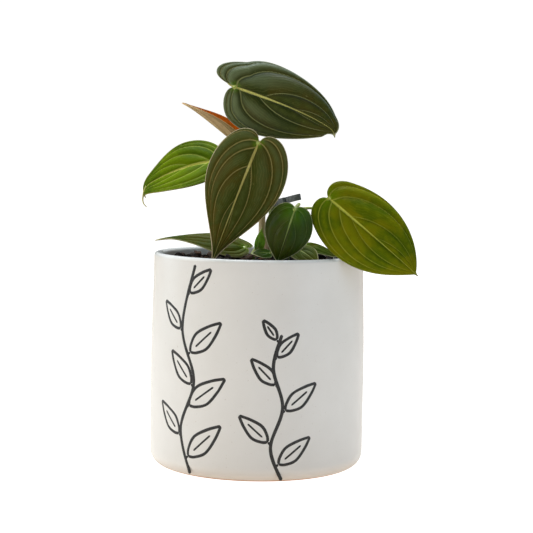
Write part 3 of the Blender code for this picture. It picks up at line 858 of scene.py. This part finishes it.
# %% [markdown]
# ## Leaf blades: the shape
#
# A philodendron blade is a heart: two lobes meet at the stalk and the margins run
# out to a drip tip. Two numbers place any point on it: s runs from the stalk to the
# tip, and t from the left margin (-1) over the midrib (0) to the right margin (1).
# The half outline is four Bezier curves: round the lobe, out to the widest place,
# in past the shoulder, and the point. The midrib is bent in space first, and the
# two halves then curl away from it, so that a hanging leaf, a rolled young leaf and
# a flat one all come from the same few values.

# %% Proportions of a blade
WIDEST = 0.27
LOBE = 0.085
MIDRIB_POWER = 1.25
HOOK_START = 0.72
CURL_START = 0.88
LOBE_FREE = 0.3


# %% A leaf's values
@dataclass
class Leaf:
    """A leaf or a sheath. Pairs are for the left and the right half."""
    base: tuple  # where stalk and blade meet, in mm
    tip: tuple  # the way the midrib sets off
    face: tuple  # the way the upper side looks
    size: tuple  # length and width in mm
    stalk: tuple = ()  # stem, height on it, points on the way and radius, in mm
    full: tuple = (0.5, 0.5)  # moves the widest place towards the tip
    lobe: tuple = (0.8, 0.8)  # how far the lobe reaches back
    blunt: tuple = (0, 0)  # fills the shoulder near the tip
    arch: float = 15  # degrees that the midrib bends down along its length,
    hook: float = 5  # and more near the tip
    side: float = 0  # the same to the right
    curl: float = 0
    cup: tuple = (25, 25)  # degrees that each half bends away from the midrib
    fold: float = 8  # degrees that it is lifted beside the midrib
    wave: float = 0.5  # ripple of the margin in mm
    quilt: float = 1.0  # scales the bulges between the veins
    upper: str = "low"  # finishes and slot
    under: str = "underside"
    slot: str = "leaf_dark"


LEAVES = {
    "top": Leaf(
        (-16.5, -14, 237.3), (0.935, -0.3, -0.32), (-0.01, -0.98, 0.03), (72, 47.7),
        ("main_stem", None, [(-8, 0, 207), (-9.5, -4, 223)], 1.2),
        full=(-0.26, -0.36), lobe=(2.5, 0.72), blunt=(1.15, 0.94), arch=18, hook=10,
        side=19, curl=50, cup=(44, 26), fold=4, wave=0.6, quilt=1.35, upper="dark",
    ),
    "centre": Leaf(
        (-1.2, -38, 203), (-0.36, -0.18, -0.92), (-0.05, -0.97, 0.18), (78, 50),
        ("main_stem", 180, [(4, -14, 188), (4, -28, 199)], 1.2),
        full=(-0.1, -0.1), lobe=(1, 1), blunt=(-0.1, -0.1), cup=(35, 35), fold=6,
        upper="bronzed",
    ),
    "left": Leaf(
        (-28, 12, 191.2), (-0.97, -0.15, -0.13), (-0.1, -0.68, 0.73), (59.3, 39),
        ("main_stem", 174, [(-5, 9, 182), (-18, 15, 188)], 1.1),
        full=(0.5, -0.3), lobe=(1, 1), arch=42, hook=60, cup=(20, 10), fold=14, quilt=0.6,
        upper="bright", slot="leaf_bright",
    ),
    "right": Leaf(
        (42.0, -38, 170.3), (0.75, -0.33, -0.6), (-0.02, -0.96, 0.26), (72, 49),
        ("main_stem", 156, [(19, -14, 161.5), (29, -24, 163.5), (37, -32, 164.5)], 0.9),
        full=(1.0, 0.9), blunt=(0.2, 0), arch=12, cup=(41, 38), fold=5, upper="olive",
        slot="leaf_bright",
    ),
    "small": Leaf(
        (21.5, -42, 163.6), (-0.3, -0.1, -0.94), (0.0, -0.97, 0.15), (35, 30),
        ("main_stem", 149, [(17, -15, 158), (24, -31, 166)], 1.1),
        full=(0.8, 0.8), lobe=(0.9, 0.9), hook=10, cup=(35, 35), fold=6, wave=0.2, upper="deep",
    ),
    "low_left": Leaf(
        (-9, 1, 137.0), (-0.93, 0.155, 0.247), (0.1, -0.26, 0.79), (59, 31),
        ("left_shoot", 131.6, [(-7.0, -1.5, 133.0)], 1.0),
        full=(-0.95, -0.25), blunt=(-0.5, 0), arch=22, hook=0, side=-13, cup=(20, 12), fold=2,
    ),
    "young": Leaf(
        (-1.0, -7, 137), (0.15, 0.05, 0.98), (0.5, -0.8, 0.1), (13, 9),
        ("left_shoot", None, [(-3.3, -6.2, 135.2)], 0.9),
        full=(0, 0), lobe=(0.6, 0.6), arch=-10, hook=0, side=10, cup=(-60, -60), fold=0,
        wave=0, upper="fresh", under="sprout", slot="leaf_bright",
    ),
    "low_front": Leaf(
        (23, -19, 138.5), (0.66, -0.6, -0.3), (0.3, -0.75, 0.6), (20, 17),
        ("right_shoot", 131, [(20, -12, 136)], 0.9), wave=0.2,
    ),
    "low_back": Leaf(
        (29, 8, 138.5), (0.85, 0.35, -0.12), (0.1, -0.3, 0.93), (28, 19),
        ("right_shoot", 132, [(20, 0, 136)], 0.9), arch=20, cup=(25, 30), wave=0.3,
    ),
    "shaded": Leaf(
        (7.5, -12, 134.5), (-0.93, -0.3, 0.1), (0.0, -0.55, 0.8), (13, 10),
        ("main_stem", 131, [(8, -7, 133.5)], 0.8), lobe=(0.7, 0.7), cup=(20, 20), fold=5,
        wave=0, upper="deep",
    ),
    "new": Leaf(
        (-11.8, 5.5, 200.2), (-0.8, 0.05, 0.615), (0.39, -0.41, 0.78), (47, 22.2),
        ("main_stem", 189, [(-9.0, 4.5, 192.5)], 1.1),
        full=(-0.1, -0.45), lobe=(0.2, 0.2), arch=-1.5, side=-17, cup=(-141, -105), fold=0,
        wave=0, upper="glowing", under="taupe", slot="leaf_bronze",
    ),
}
print(len(LEAVES), "leaves")


# %% The half outline
def bezier(points, u):
    a, b, c, d = (np.array(p, float) for p in points)
    u = u[..., None]
    v = 1 - u
    return a * v**3 + 3 * b * v * v * u + 3 * c * v * u * u + d * u**3


def half_outline(leaf, s, side):
    """The margin at s: x in half widths, y in lengths. side is 0 for left, 1 for right."""
    full, blunt = leaf.full[side], leaf.blunt[side]
    widest = WIDEST + 0.09 * full
    shoulder = (0.24 + 0.2 * full + 0.35 * blunt, 0.8 + 0.06 * full + 0.1 * blunt)
    curves = [
        (0.12, [(0.0, 0.0), (0.03, -0.05), (0.12, -LOBE), (0.3, -LOBE)]),
        (0.3, [(0.3, -LOBE), (0.66, -LOBE), (1.0, widest - 0.21), (1.0, widest)]),
        (0.51, [(1.0, widest), (1.0, widest + 0.29), shoulder, (0.05, 0.968)]),
        (0.07, [(0.05, 0.968), (0.025, 0.98), (0.01, 0.99), (0.0, 1.0)]),
    ]
    margin, start = np.zeros((*s.shape, 2)), 0.0
    for share, points in curves:
        place = bezier(points, np.clip((s - start) / share, 0, 1))
        margin = np.where((s >= start)[..., None], place, margin)
        start += share
    x, y = margin[..., 0], margin[..., 1]
    return x, np.where(y < 0, y * leaf.lobe[side], y)


# %% The bent midrib and the curled blade
def midrib_curve(leaf):
    """Along the midrib: shares of its length, places, ways to the right and faces."""
    at = np.linspace(-0.3, 1.0, 1301)
    hook = smooth_share((at - HOOK_START) / (1 - HOOK_START))
    down = np.radians(leaf.arch * at + leaf.hook * hook)
    end = smooth_share((at - CURL_START) / (1 - CURL_START))
    side = np.radians(leaf.side * at**3 + leaf.curl * end)
    along = np.stack([np.sin(side) * np.cos(down), np.cos(side) * np.cos(down), -np.sin(down)], 1)
    right = np.stack([np.cos(side), -np.sin(side), 0 * side], 1)
    step = leaf.size[0] * MM * (at[1] - at[0])
    place = np.vstack([[0, 0, 0], np.cumsum((along[1:] + along[:-1]) / 2 * step, axis=0)])
    return at, place - read(at, place, 0), right, np.cross(right, along)


def blade_points(leaf, s, t):
    """Points of the blade in leaf space, for arrays of s and t."""
    part, on_right = abs(t), t > 0
    (xl, yl), (xr, yr) = half_outline(leaf, s, 0), half_outline(leaf, s, 1)
    half = np.where(on_right, xr, xl) * leaf.size[1] / 2 * MM
    y = (1 - part) * s**MIDRIB_POWER + part * np.where(on_right, yr, yl)
    at, *curves = midrib_curve(leaf)
    place, right, face = (read(at, values, y) for values in curves)
    cup = np.radians(np.where(on_right, *leaf.cup[::-1])) * smooth_share(s / LOBE_FREE)
    fold = math.radians(leaf.fold)
    flat = abs(cup) < 0.001
    bend = np.where(flat, 1.0, cup)
    turned = fold - cup * part
    across = np.where(flat, part * math.cos(fold), (math.sin(fold) - np.sin(turned)) / bend)
    lift = np.where(flat, part * math.sin(fold), (np.cos(turned) - math.cos(fold)) / bend)
    ripple = np.sin(math.pi * s) * np.sin(math.tau * 2.2 * s + np.where(on_right, 1.3, 0.0))
    wave = leaf.wave * MM * part**3 * ripple
    out = (np.sign(t) * across * half)[..., None]
    return place + right * out + face * (lift * half + wave)[..., None]


def leaf_matrix(leaf):
    """Places leaf space: origin at the base, +Y along the midrib, +Z out of the upper side."""
    along = Vector(leaf.tip).normalized()
    right = along.cross(Vector(leaf.face)).normalized()
    turn = Matrix((right, along, right.cross(along))).transposed()
    return Matrix.Translation(Vector(leaf.base) * MM) @ turn.to_4x4()


# %% [markdown]
# ## Leaf blades: the veins
#
# The main veins leave the stalk or the lower midrib, swing out, and run on side by
# side to the tip. In s and t such a vein is a line whose t levels off. Between two
# veins the skin bulges like a quilt. To draw and to emboss them alike, each point
# gets a vein count: 0 on the margin, 1 on the outermost vein, 2 on the next, and in
# between the share of the way. The distance to the nearest vein follows from the
# fraction and the local spacing, and the line stays thin however coarse the mesh
# is.

# %% Vein layout and count
# For each half, from the margin inwards: (share of the half width, s where it starts,
# how much of s it takes to swing out). A share of 0 means that it leaves the midrib.
PLAIN_HALF = [(0.68, 0, 0.4), (0.3, 0, 0.4), (0, 0.26, 0.5)]
PLAIN_VEINS = (PLAIN_HALF, PLAIN_HALF)
VEINS = {
    "top": ([(0.6, 0, 0.12), (0.05, 0, 0.14), (0, 0.06, 0.28), (0, 0.36, 0.46), (0, 0.64, 0.5)],
            [(0.48, 0, 0.16), (0.12, 0, 0.2), (0, 0.08, 0.34), (0, 0.31, 0.62), (0, 0.62, 0.9)]),
    "centre": ([(0.66, 0, 0.36), (0.29, 0, 0.56), (0, 0.23, 0.84), (0, 0.6, 0.9)],
               [(0.62, 0, 0.12), (0.29, 0, 0.36), (0, 0.06, 0.36), (0, 0.27, 0.37),
                (0, 0.55, 0.5)]),
    "left": ([(0.7, 0, 0.4), (0.34, 0, 0.4), (0, 0.14, 0.5), (0, 0.42, 0.5)],
             [(0.72, 0, 0.4), (0.36, 0, 0.4), (0, 0.1, 0.5), (0, 0.38, 0.5)]),
    "right": ([(0.3, 0, 0.19), (0, 0.05, 0.34), (0, 0.33, 0.5), (0, 0.6, 0.5)],
              [(0.19, 0, 0.19), (0, 0.07, 0.29), (0, 0.19, 0.42), (0, 0.34, 0.62)]),
    "small": ([(0.7, 0, 0.4), (0.3, 0, 0.4), (0, 0.26, 0.5)],
              [(0.7, 0, 0.4), (0.34, 0, 0.4), (0, 0.24, 0.5)]),
}
VEIN_SPACE = 0.003  # least share of the half width between two veins


def vein_shares(veins, s):
    """Where each vein lies at s, from the margin inwards, kept in order at the midrib."""
    shares = [1 - (1 - share) * math.exp(-(s - start) / swing) for share, start, swing in veins]
    room = [VEIN_SPACE * (order + 1) for order in range(len(veins))]
    kept = [min(max(x, low), 1 - high) for x, low, high in zip(shares, room[::-1], room)]
    return [1.0, *kept, 0.0]


def vein_count(veins, s, t):
    """The count at each point of the grid, and how much t one count spans there."""
    count, span = np.zeros(t.shape), np.ones(t.shape)
    for side, here in ((0, t <= 0), (1, t > 0)):
        for i in range(len(s)):
            shares = np.array(vein_shares(veins[side], s[i, 0]))
            row = abs(t[i][here[i]])
            cell = np.clip(np.searchsorted(-shares, -row, "right") - 1, 0, len(shares) - 2)
            wide = shares[cell] - shares[cell + 1]
            count[i][here[i]] = cell + (shares[cell] - row) / wide
            span[i][here[i]] = wide
    return count, span


# %% Blade meshes
THICKNESS = 0.42 * MM
QUILT = 0.2  # height of the bulge, as a share of the veins' spacing
QUILT_MOST = 1.7 * MM
CHANNEL = 0.45 * MM  # how deep the midrib lies
CHANNEL_WIDTH = 1.3 * MM
RIB_WIDTH = 1.1  # mm, of the midrib under the blade


def blade_fields(leaf, veins, grid):
    """Places and surface values of a blade on a grid of s and t."""
    across, along = grid
    s, t = np.meshgrid(np.linspace(0, 1, along + 1), np.linspace(-1, 1, across + 1), indexing="ij")
    points = blade_points(leaf, s, t)
    by_s, by_t = np.gradient(points, axis=0), np.gradient(points, axis=1)
    normal = np.cross(by_t, by_s)
    area = np.linalg.norm(normal, axis=-1)
    normal /= np.maximum(area, 1e-12)[..., None]
    per_t = area / np.maximum(np.linalg.norm(by_s, axis=-1), 1e-9) * across / 2
    count, span = vein_count(veins, s, t)
    gap = per_t * span
    fraction = count % 1.0
    bulge = (4 * fraction * (1 - fraction)) ** 0.85
    ends = smooth_share(s / 0.1) * smooth_share((1 - s) / 0.12)
    quilt = np.minimum(QUILT * gap, QUILT_MOST) * bulge * ends * leaf.quilt
    from_midrib = per_t * abs(t)
    channel = CHANNEL * (1 - 0.6 * s) * np.exp(-((from_midrib / CHANNEL_WIDTH) ** 2))
    channel *= smooth_share(s / 0.05) * min(1.0, leaf.size[1] / 40)
    points = points + normal * (quilt - channel)[..., None]
    values = {
        "vein_count": count, "vein_gap": gap / MM, "from_midrib": from_midrib / MM, "along": s,
        "from_stalk": np.linalg.norm(points, axis=-1) / MM,
        "from_margin": per_t * (1 - abs(t)) / MM,
    }
    return points, values


def blade(name, leaf, veins, grid, upper, under, rib):
    """A closed thin blade: a shaped grid, thickened, rib times as much below the midrib."""
    points, values = blade_fields(leaf, veins, grid)
    bm = bmesh.new()
    bmesh.ops.create_grid(bm, x_segments=grid[0], y_segments=grid[1], size=1.0)
    layers = {key: bm.verts.layers.float.new(key) for key in values}
    weights = bm.verts.layers.deform.new("rib")
    for vertex in bm.verts:
        j = round((vertex.co.x + 1) / 2 * grid[0])
        i = round((vertex.co.y + 1) / 2 * grid[1])
        for key, layer in layers.items():
            vertex[layer] = values[key][i, j]
        near = math.exp(-((values["from_midrib"][i, j] / RIB_WIDTH) ** 2))
        near *= 1 - 0.8 * i / grid[1]
        vertex[weights][0] = min(1.0, 1 / rib + (1 - 1 / rib) * near)
        vertex.co = points[i, j]
    bmesh.ops.transform(bm, verts=bm.verts, matrix=leaf_matrix(leaf))
    bmesh.ops.remove_doubles(bm, verts=bm.verts, dist=0.01 * MM)
    obj = link(name, bm, upper, under)
    obj.vertex_groups.new(name="rib")
    solid = obj.modifiers.new("thickness", "SOLIDIFY")
    solid.thickness = THICKNESS * rib
    solid.offset = -1.0
    solid.vertex_group = "rib"
    solid.material_offset = 1
    return obj


# %% [markdown]
# ## Leaf finishes
#
# The upper side has a velvet nap: very short hairs that scatter light at a low
# angle, which is what the shader's sheen does. Colour comes in layers, from the
# broad to the fine: a dark ground with olive clouds, a painted highlight on the
# crest of each bulge, a painted bluish sheen on the bulges of the lower blade away
# from the midrib, faint veinlets in step with the vein count, the veins and midrib,
# and a thin translucent margin. Every layer reads values that the mesh carries, so
# the pattern bends with the blade.


# %% Velvet leaves
def line_share(distance, width):
    """1 on a line and 0 beyond it. distance and width are in millimetres."""
    return fade(distance, times(width, 0.25), times(width, 0.85), 1.0, 0.0)


LEAF_FINISHES = {}


def leaf_finish(name, ground, crest_highlight, cloud, vein, midrib, margin, heart=(0.1, 0.22, 0.005),
                heart_reach=5.5, painted_sheen=None, painted_sheen_share=0.0, roughness=0.5, sheen=0.0,
                vein_strength=0.3, widths=(0.75, 1.6), shine=0.15):
    """A side of a blade. Colours are linear, widths are those of vein and midrib in mm."""
    begin("leaf_" + name, Sheen_Weight=sheen, Sheen_Roughness=0.4, Sheen_Tint=(0.7, 0.88, 0.95),
          Specular_IOR_Level=shine)
    count, gap, along = carried("vein_count"), carried("vein_gap"), carried("along")
    from_midrib, from_stalk = carried("from_midrib"), carried("from_stalk")
    fraction = maths("PINGPONG", count, 0.5)
    grain = speckle(260, 4, 0.6)

    tone = speckle(48, 3, 0.55, 0.6)
    skin = blend(fade(tone, 0.4, 0.62), ground, cloud)
    # Painted highlight: the crest of each bulge between the veins is lighter, as if lit from
    # above, and the skin by the veins stays darker.
    crest_highlight_share = fade(fraction, 0.08, 0.5, 0.0, 0.8)
    skin = blend(times(crest_highlight_share, fade(grain, 0.2, 0.75)), skin, crest_highlight)
    # Painted sheen: a pale bluish tint on the bulges of the lower blade, standing in for the
    # velvet nap catching the overhead light.
    if painted_sheen:
        reach = times(fade(from_midrib, 2.0, 10.0), fade(along, 0.1, 0.75, 1.0, 0.0))
        skin = blend(times(reach, fade(fraction, 0.06, 0.42, 0.1, painted_sheen_share)), skin, painted_sheen)

    wander = times(speckle(120, 2), 0.35)
    fine = maths("PINGPONG", times(maths("ADD", count, wander), 8.0), 0.5)
    fleck = fade(speckle(640, 2), 0.68, 0.74, 0.0, 0.35)
    skin = blend(times(fleck, tone), skin, vein)
    skin = blend(times(fade(fine, 0.0, 0.2, 0.22, 0.0), grain), skin, vein)

    skin = blend(fade(from_stalk, 1.0, heart_reach, 0.6, 0.0), skin, heart)
    vein_line = line_share(times(fraction, gap), times(fade(along, 0.0, 1.0, 1.0, 0.4), widths[0]))
    plain = times(fade(gap, 1.0, 4.5), fade(along, 0.05, 0.3, 1.0, vein_strength))
    skin = blend(times(vein_line, plain), skin, vein)
    rib_line = line_share(from_midrib, times(fade(along, 0.0, 0.9, 1.0, 0.22), widths[1]))
    skin = blend(times(rib_line, fade(along, 0.3, 1.0, 1.0, 0.55)), skin, midrib)
    skin = blend(fade(from_stalk, 0.6, 2.2, 0.8, 0.0), skin, midrib)
    rim = fade(carried("from_margin"), 0.2, 0.8, 1.0, 0.0)
    rim = times(rim, fade(along, 0.3, 0.9, 0.45, 0.9))
    rim = maths("MAXIMUM", rim, fade(along, 0.94, 1.0, 0.0, 0.7))

    veinlets = relief(times(fine, 2.0), 0.3, 0.0002)
    LEAF_FINISHES[name] = shade(
        blend(rim, skin, margin),
        fade(grain, 0.25, 0.75, roughness - 0.08, roughness + 0.1),
        relief(speckle(3200, 2), 0.2, 0.0002, veinlets),
    )


# %% The leaves' own colours
# Ground, painted crest highlight, cloud, vein, midrib and margin, then what isn't as on a plain
# side.
leaf_finish(
    "dark", (0.024, 0.034, 0.001), (0.056, 0.072, 0.01), (0.046, 0.042, 0.001),
    (0.26, 0.28, 0.11), (0.62, 0.6, 0.18), (0.36, 0.36, 0.2), sheen=0.4,
    painted_sheen=(0.135, 0.17, 0.08), painted_sheen_share=0.85, vein_strength=0.75, shine=0.06,
)
leaf_finish(
    "bronzed", (0.036, 0.046, 0.003), (0.06, 0.08, 0.018), (0.06, 0.046, 0.001),
    (0.3, 0.26, 0.09), (0.58, 0.52, 0.17), (0.74, 0.6, 0.38), sheen=0.08,
    painted_sheen=(0.1, 0.122, 0.038), painted_sheen_share=0.55, vein_strength=0.7, shine=0.03,
)
leaf_finish(
    "bright", (0.056, 0.108, 0.001), (0.106, 0.18, 0.001), (0.125, 0.19, 0.001),
    (0.3, 0.37, 0.06), (0.66, 0.66, 0.16), (0.34, 0.29, 0.1), heart=(0.14, 0.28, 0.003),
    vein_strength=0.8, widths=(0.85, 2.4), shine=0.02,
)
leaf_finish(
    "olive", (0.066, 0.106, 0.001), (0.142, 0.172, 0.001), (0.16, 0.16, 0.001),
    (0.36, 0.39, 0.05), (0.55, 0.57, 0.09), (0.24, 0.26, 0.05), heart=(0.09, 0.19, 0.002),
    heart_reach=12.0, roughness=0.45, vein_strength=0.55, shine=0.02,
)
leaf_finish(
    "deep", (0.018, 0.048, 0.001), (0.03, 0.062, 0.003), (0.044, 0.056, 0.002),
    (0.12, 0.18, 0.05), (0.3, 0.4, 0.12), (0.6, 0.6, 0.34), heart=(0.06, 0.17, 0.003),
    heart_reach=14.0, roughness=0.34, vein_strength=0.35, widths=(0.55, 1.1), shine=0.13,
)
leaf_finish(
    "low", (0.044, 0.072, 0.002), (0.076, 0.104, 0.008), (0.08, 0.08, 0.003),
    (0.22, 0.26, 0.06), (0.34, 0.38, 0.12), (0.62, 0.56, 0.32), vein_strength=0.5,
    widths=(0.5, 1.0), shine=0.05,
)
# The young leaf's fresh and sprout greens are its own light green, made brighter still as painted
# light, since it grows in the shade of the leaves above.
leaf_finish(
    "fresh", (0.34, 0.68, 0.05), (0.42, 0.76, 0.08), (0.2, 0.46, 0.03), (0.42, 0.6, 0.12),
    (0.5, 0.66, 0.18), (0.4, 0.52, 0.14), widths=(0.4, 0.7),
)
leaf_finish(
    "sprout", (0.26, 0.52, 0.05), (0.32, 0.6, 0.07), (0.32, 0.54, 0.06), (0.42, 0.6, 0.12),
    (0.5, 0.66, 0.18), (0.4, 0.52, 0.14), widths=(0.4, 0.7),
)
leaf_finish(
    "glowing", (0.72, 0.22, 0.015), (0.78, 0.28, 0.025), (0.66, 0.2, 0.015),
    (0.74, 0.36, 0.08), (0.78, 0.46, 0.14), (0.74, 0.46, 0.2), heart=(0.6, 0.3, 0.05),
)
leaf_finish(
    "taupe", (0.46, 0.32, 0.16), (0.54, 0.4, 0.22), (0.38, 0.26, 0.12), (0.6, 0.44, 0.23),
    (0.66, 0.5, 0.26), (0.8, 0.6, 0.32), heart=(0.4, 0.3, 0.14), roughness=0.55,
    sheen=0.05, vein_strength=0.4,
)
leaf_finish(
    "underside", (0.14, 0.19, 0.03), (0.18, 0.22, 0.045), (0.2, 0.17, 0.04),
    (0.28, 0.28, 0.1), (0.46, 0.48, 0.2), (0.56, 0.46, 0.22), vein_strength=0.6,
)
print(len(LEAF_FINISHES), "leaf finishes")

# %% Grow the leaves
FINE_LEAF = ((100, 150), 2.2)  # grid across and along, thickness at the midrib
SMALL_LEAF = ((48, 64), 1.6)
SMALL_LENGTH = 40

for name, leaf in LEAVES.items():
    grid, rib = SMALL_LEAF if leaf.size[0] < SMALL_LENGTH else FINE_LEAF
    grown = blade(
        "blade_" + name, leaf, VEINS.get(name, PLAIN_VEINS), grid,
        LEAF_FINISHES[leaf.upper], LEAF_FINISHES[leaf.under], rib,
    )
    keep(grown, leaf.slot, "leaf_" + name)
print("leaves grown")

# %% [markdown]
# ## The drip tip
#
# The left leaf runs out to a long drip tip that has yellowed and curled. It is a
# thin tube that starts inside the end of the blade and bends under it.

# %% Drip tip
DRIP_BENDS = [(-0.5, 0.0, -2.5), (-0.8, 0.2, -5.5), (-0.1, 0.4, -8.0), (1.9, 0.6, -10.2)]  # mm
DRIP_RADIUS = 0.8 * MM
drip_skin = green_finish("drip_tip", (0.36, 0.36, 0.08), (0.58, 0.54, 0.18), (0.44, 0.32, 0.12))
ends = blade_points(LEAVES["left"], np.array([0.86, 0.92]), np.array([0.0, 0.0]))
ends = [np.array(leaf_matrix(LEAVES["left"]) @ Vector(end)) for end in ends]
drip_way = [*ends, *(ends[1] + np.array(bend) * MM for bend in DRIP_BENDS)]
keep(link("left_drip_tip", tapered_tube(drip_way, DRIP_RADIUS, 0.3), drip_skin), "leaf_bright")
print("drip tip", round(np.linalg.norm(drip_way[-1] - drip_way[0]) / MM, 1), "mm long")

# %% [markdown]
# ## Leaf stalks
#
# A stalk leaves the stem from a sheathing foot and ends in a slight knuckle that
# lets the blade turn to the light. It pokes a hair's breadth through the blade,
# which gives the pale spot where all the veins meet.

# %% Leaf stalks
STALK_INTO_BLADE = 0.25 * MM


def knuckle(share):
    foot, knot = share / 0.1, (share - 0.95) / 0.05
    return 1 + 0.22 * np.exp(-foot * foot) + 0.18 * np.exp(-knot * knot)


for name, leaf in LEAVES.items():
    stem_name, height, way, radius = leaf.stalk
    matrix = leaf_matrix(leaf)
    end = matrix @ Vector((0, 0.4 * MM, STALK_INTO_BLADE))
    before_end = matrix @ Vector((0, 0, -radius * 1.1 * MM))
    path = [stem_centre(stem_name, height), *(np.array(way) * MM), before_end, end]
    stalk = link("stalk_" + name, tapered_tube(path, radius * MM, 0.85, knuckle), stalk_green)
    keep(stalk, "stem", "petiole_" + name)
print("stalks joined to", len(LEAVES), "blades")

# %% [markdown]
# ## The dry sheath
#
# Each new leaf comes out of a papery sheath that dries to tan and hangs on at
# the foot of the stem. It is made as a small rolled blade.

# %% Dry sheath
begin("dry_sheath", Specular_IOR_Level=0.3)
fibres = speckle(2200, 4, 0.6, upright=0.08)
blotch = speckle(400)
tan = blend(fade(fibres, 0.3, 0.7), (0.26, 0.16, 0.085), (0.56, 0.42, 0.27))
papery = shade(
    blend(fade(blotch, 0.5, 0.8), tan, (0.16, 0.09, 0.05)),
    fade(blotch, 0.2, 0.8, 0.7, 0.9), relief(fibres, 0.6, 0.0003),
)
rolled = Leaf(
    (5.6, -2.1, 131.5), (-0.2, -0.15, 0.97), (0.74, 0.67, 0.1), (13, 6),
    full=(0, 0), lobe=(0, 0), arch=-8, hook=-10, cup=(-70, -70), fold=0, wave=0,
)
sheath = blade("papery_sheath", rolled, PLAIN_VEINS, (30, 40), papery, papery, 1.2)
keep(sheath, "dry_sheath", "dry_sheath")

# %% [markdown]
# ## Floor and light
#
# The plant stands on a wide pale sheet under soft studio light. A big soft lamp on
# the left shapes the pot, an overhead one gives the leaves their bluish nap, and
# weak cool ones fill the right side and the back. The sheet glows a little and
# throws warm light up under the leaves.

# %% Floor
WHITE = (1.0, 1.0, 1.0)
FLOOR_SIZE = 6.0

begin("pale_paper", Roughness=0.9, Specular_IOR_Level=0.1)
seen = add("LightPath", {}).outputs["Is Camera Ray"]
plug(shader["Base Color"], blend(speckle(300), (0.44, 0.44, 0.44), (0.46, 0.46, 0.46)))
plug(shader["Emission Color"], blend(seen, (1.0, 0.82, 0.65), WHITE))
plug(shader["Emission Strength"], maths("MULTIPLY_ADD", seen, 0.56, 0.64))
bm = bmesh.new()
bmesh.ops.create_grid(bm, x_segments=2, y_segments=2, size=FLOOR_SIZE)
bmesh.ops.translate(bm, verts=bm.verts, vec=(0, 0, -0.2 * MM))
floor = link("floor", bm, material)

# %% Light
COOL = (0.72, 0.88, 1.0)
LAMPS = {  # place, size, watts and colour
    "left_softbox": ((-1.25, -0.34, 0.8), 0.9, 9.2, (0.97, 1.0, 0.98)),
    "left_back": ((-1.5, 0.5, 0.5), 1.2, 4.7, COOL),
    "overhead": ((-0.1, 0.45, 1.35), 0.6, 22.0, (0.88, 0.95, 1.0)),
    "front": ((0.15, -1.5, 0.75), 1.0, 1.9, WHITE),
    "right_fill": ((1.1, -0.75, 0.5), 1.2, 5.0, (0.62, 0.82, 1.0)),
    "right_back": ((1.5, 0.5, 0.4), 1.2, 1.6, COOL),
}
middle = (cad_box[0] + cad_box[1]) / 2
for name, (place, size, watts, colour) in LAMPS.items():
    data = bpy.data.lights.new(name, "AREA")
    data.shape = "DISK"
    data.size = size
    data.energy = watts
    data.color = colour
    lamp = bpy.data.objects.new(name, data)
    lamp.location = place
    lamp.rotation_euler = (Vector(middle) - Vector(place)).to_track_quat("-Z", "Y").to_euler()
    bpy.context.scene.collection.objects.link(lamp)

world = bpy.data.worlds.new("room")
world.use_nodes = True
bpy.context.scene.world = world
tree = world.node_tree
seen = add("LightPath", {}).outputs["Is Camera Ray"]
plug(tree.nodes["Background"].inputs["Color"], WHITE)
plug(tree.nodes["Background"].inputs["Strength"], maths("MULTIPLY_ADD", seen, 1.0, 0.02))
bpy.context.scene.view_settings.view_transform = "Standard"
print("lit by", len(LAMPS), "lamps")
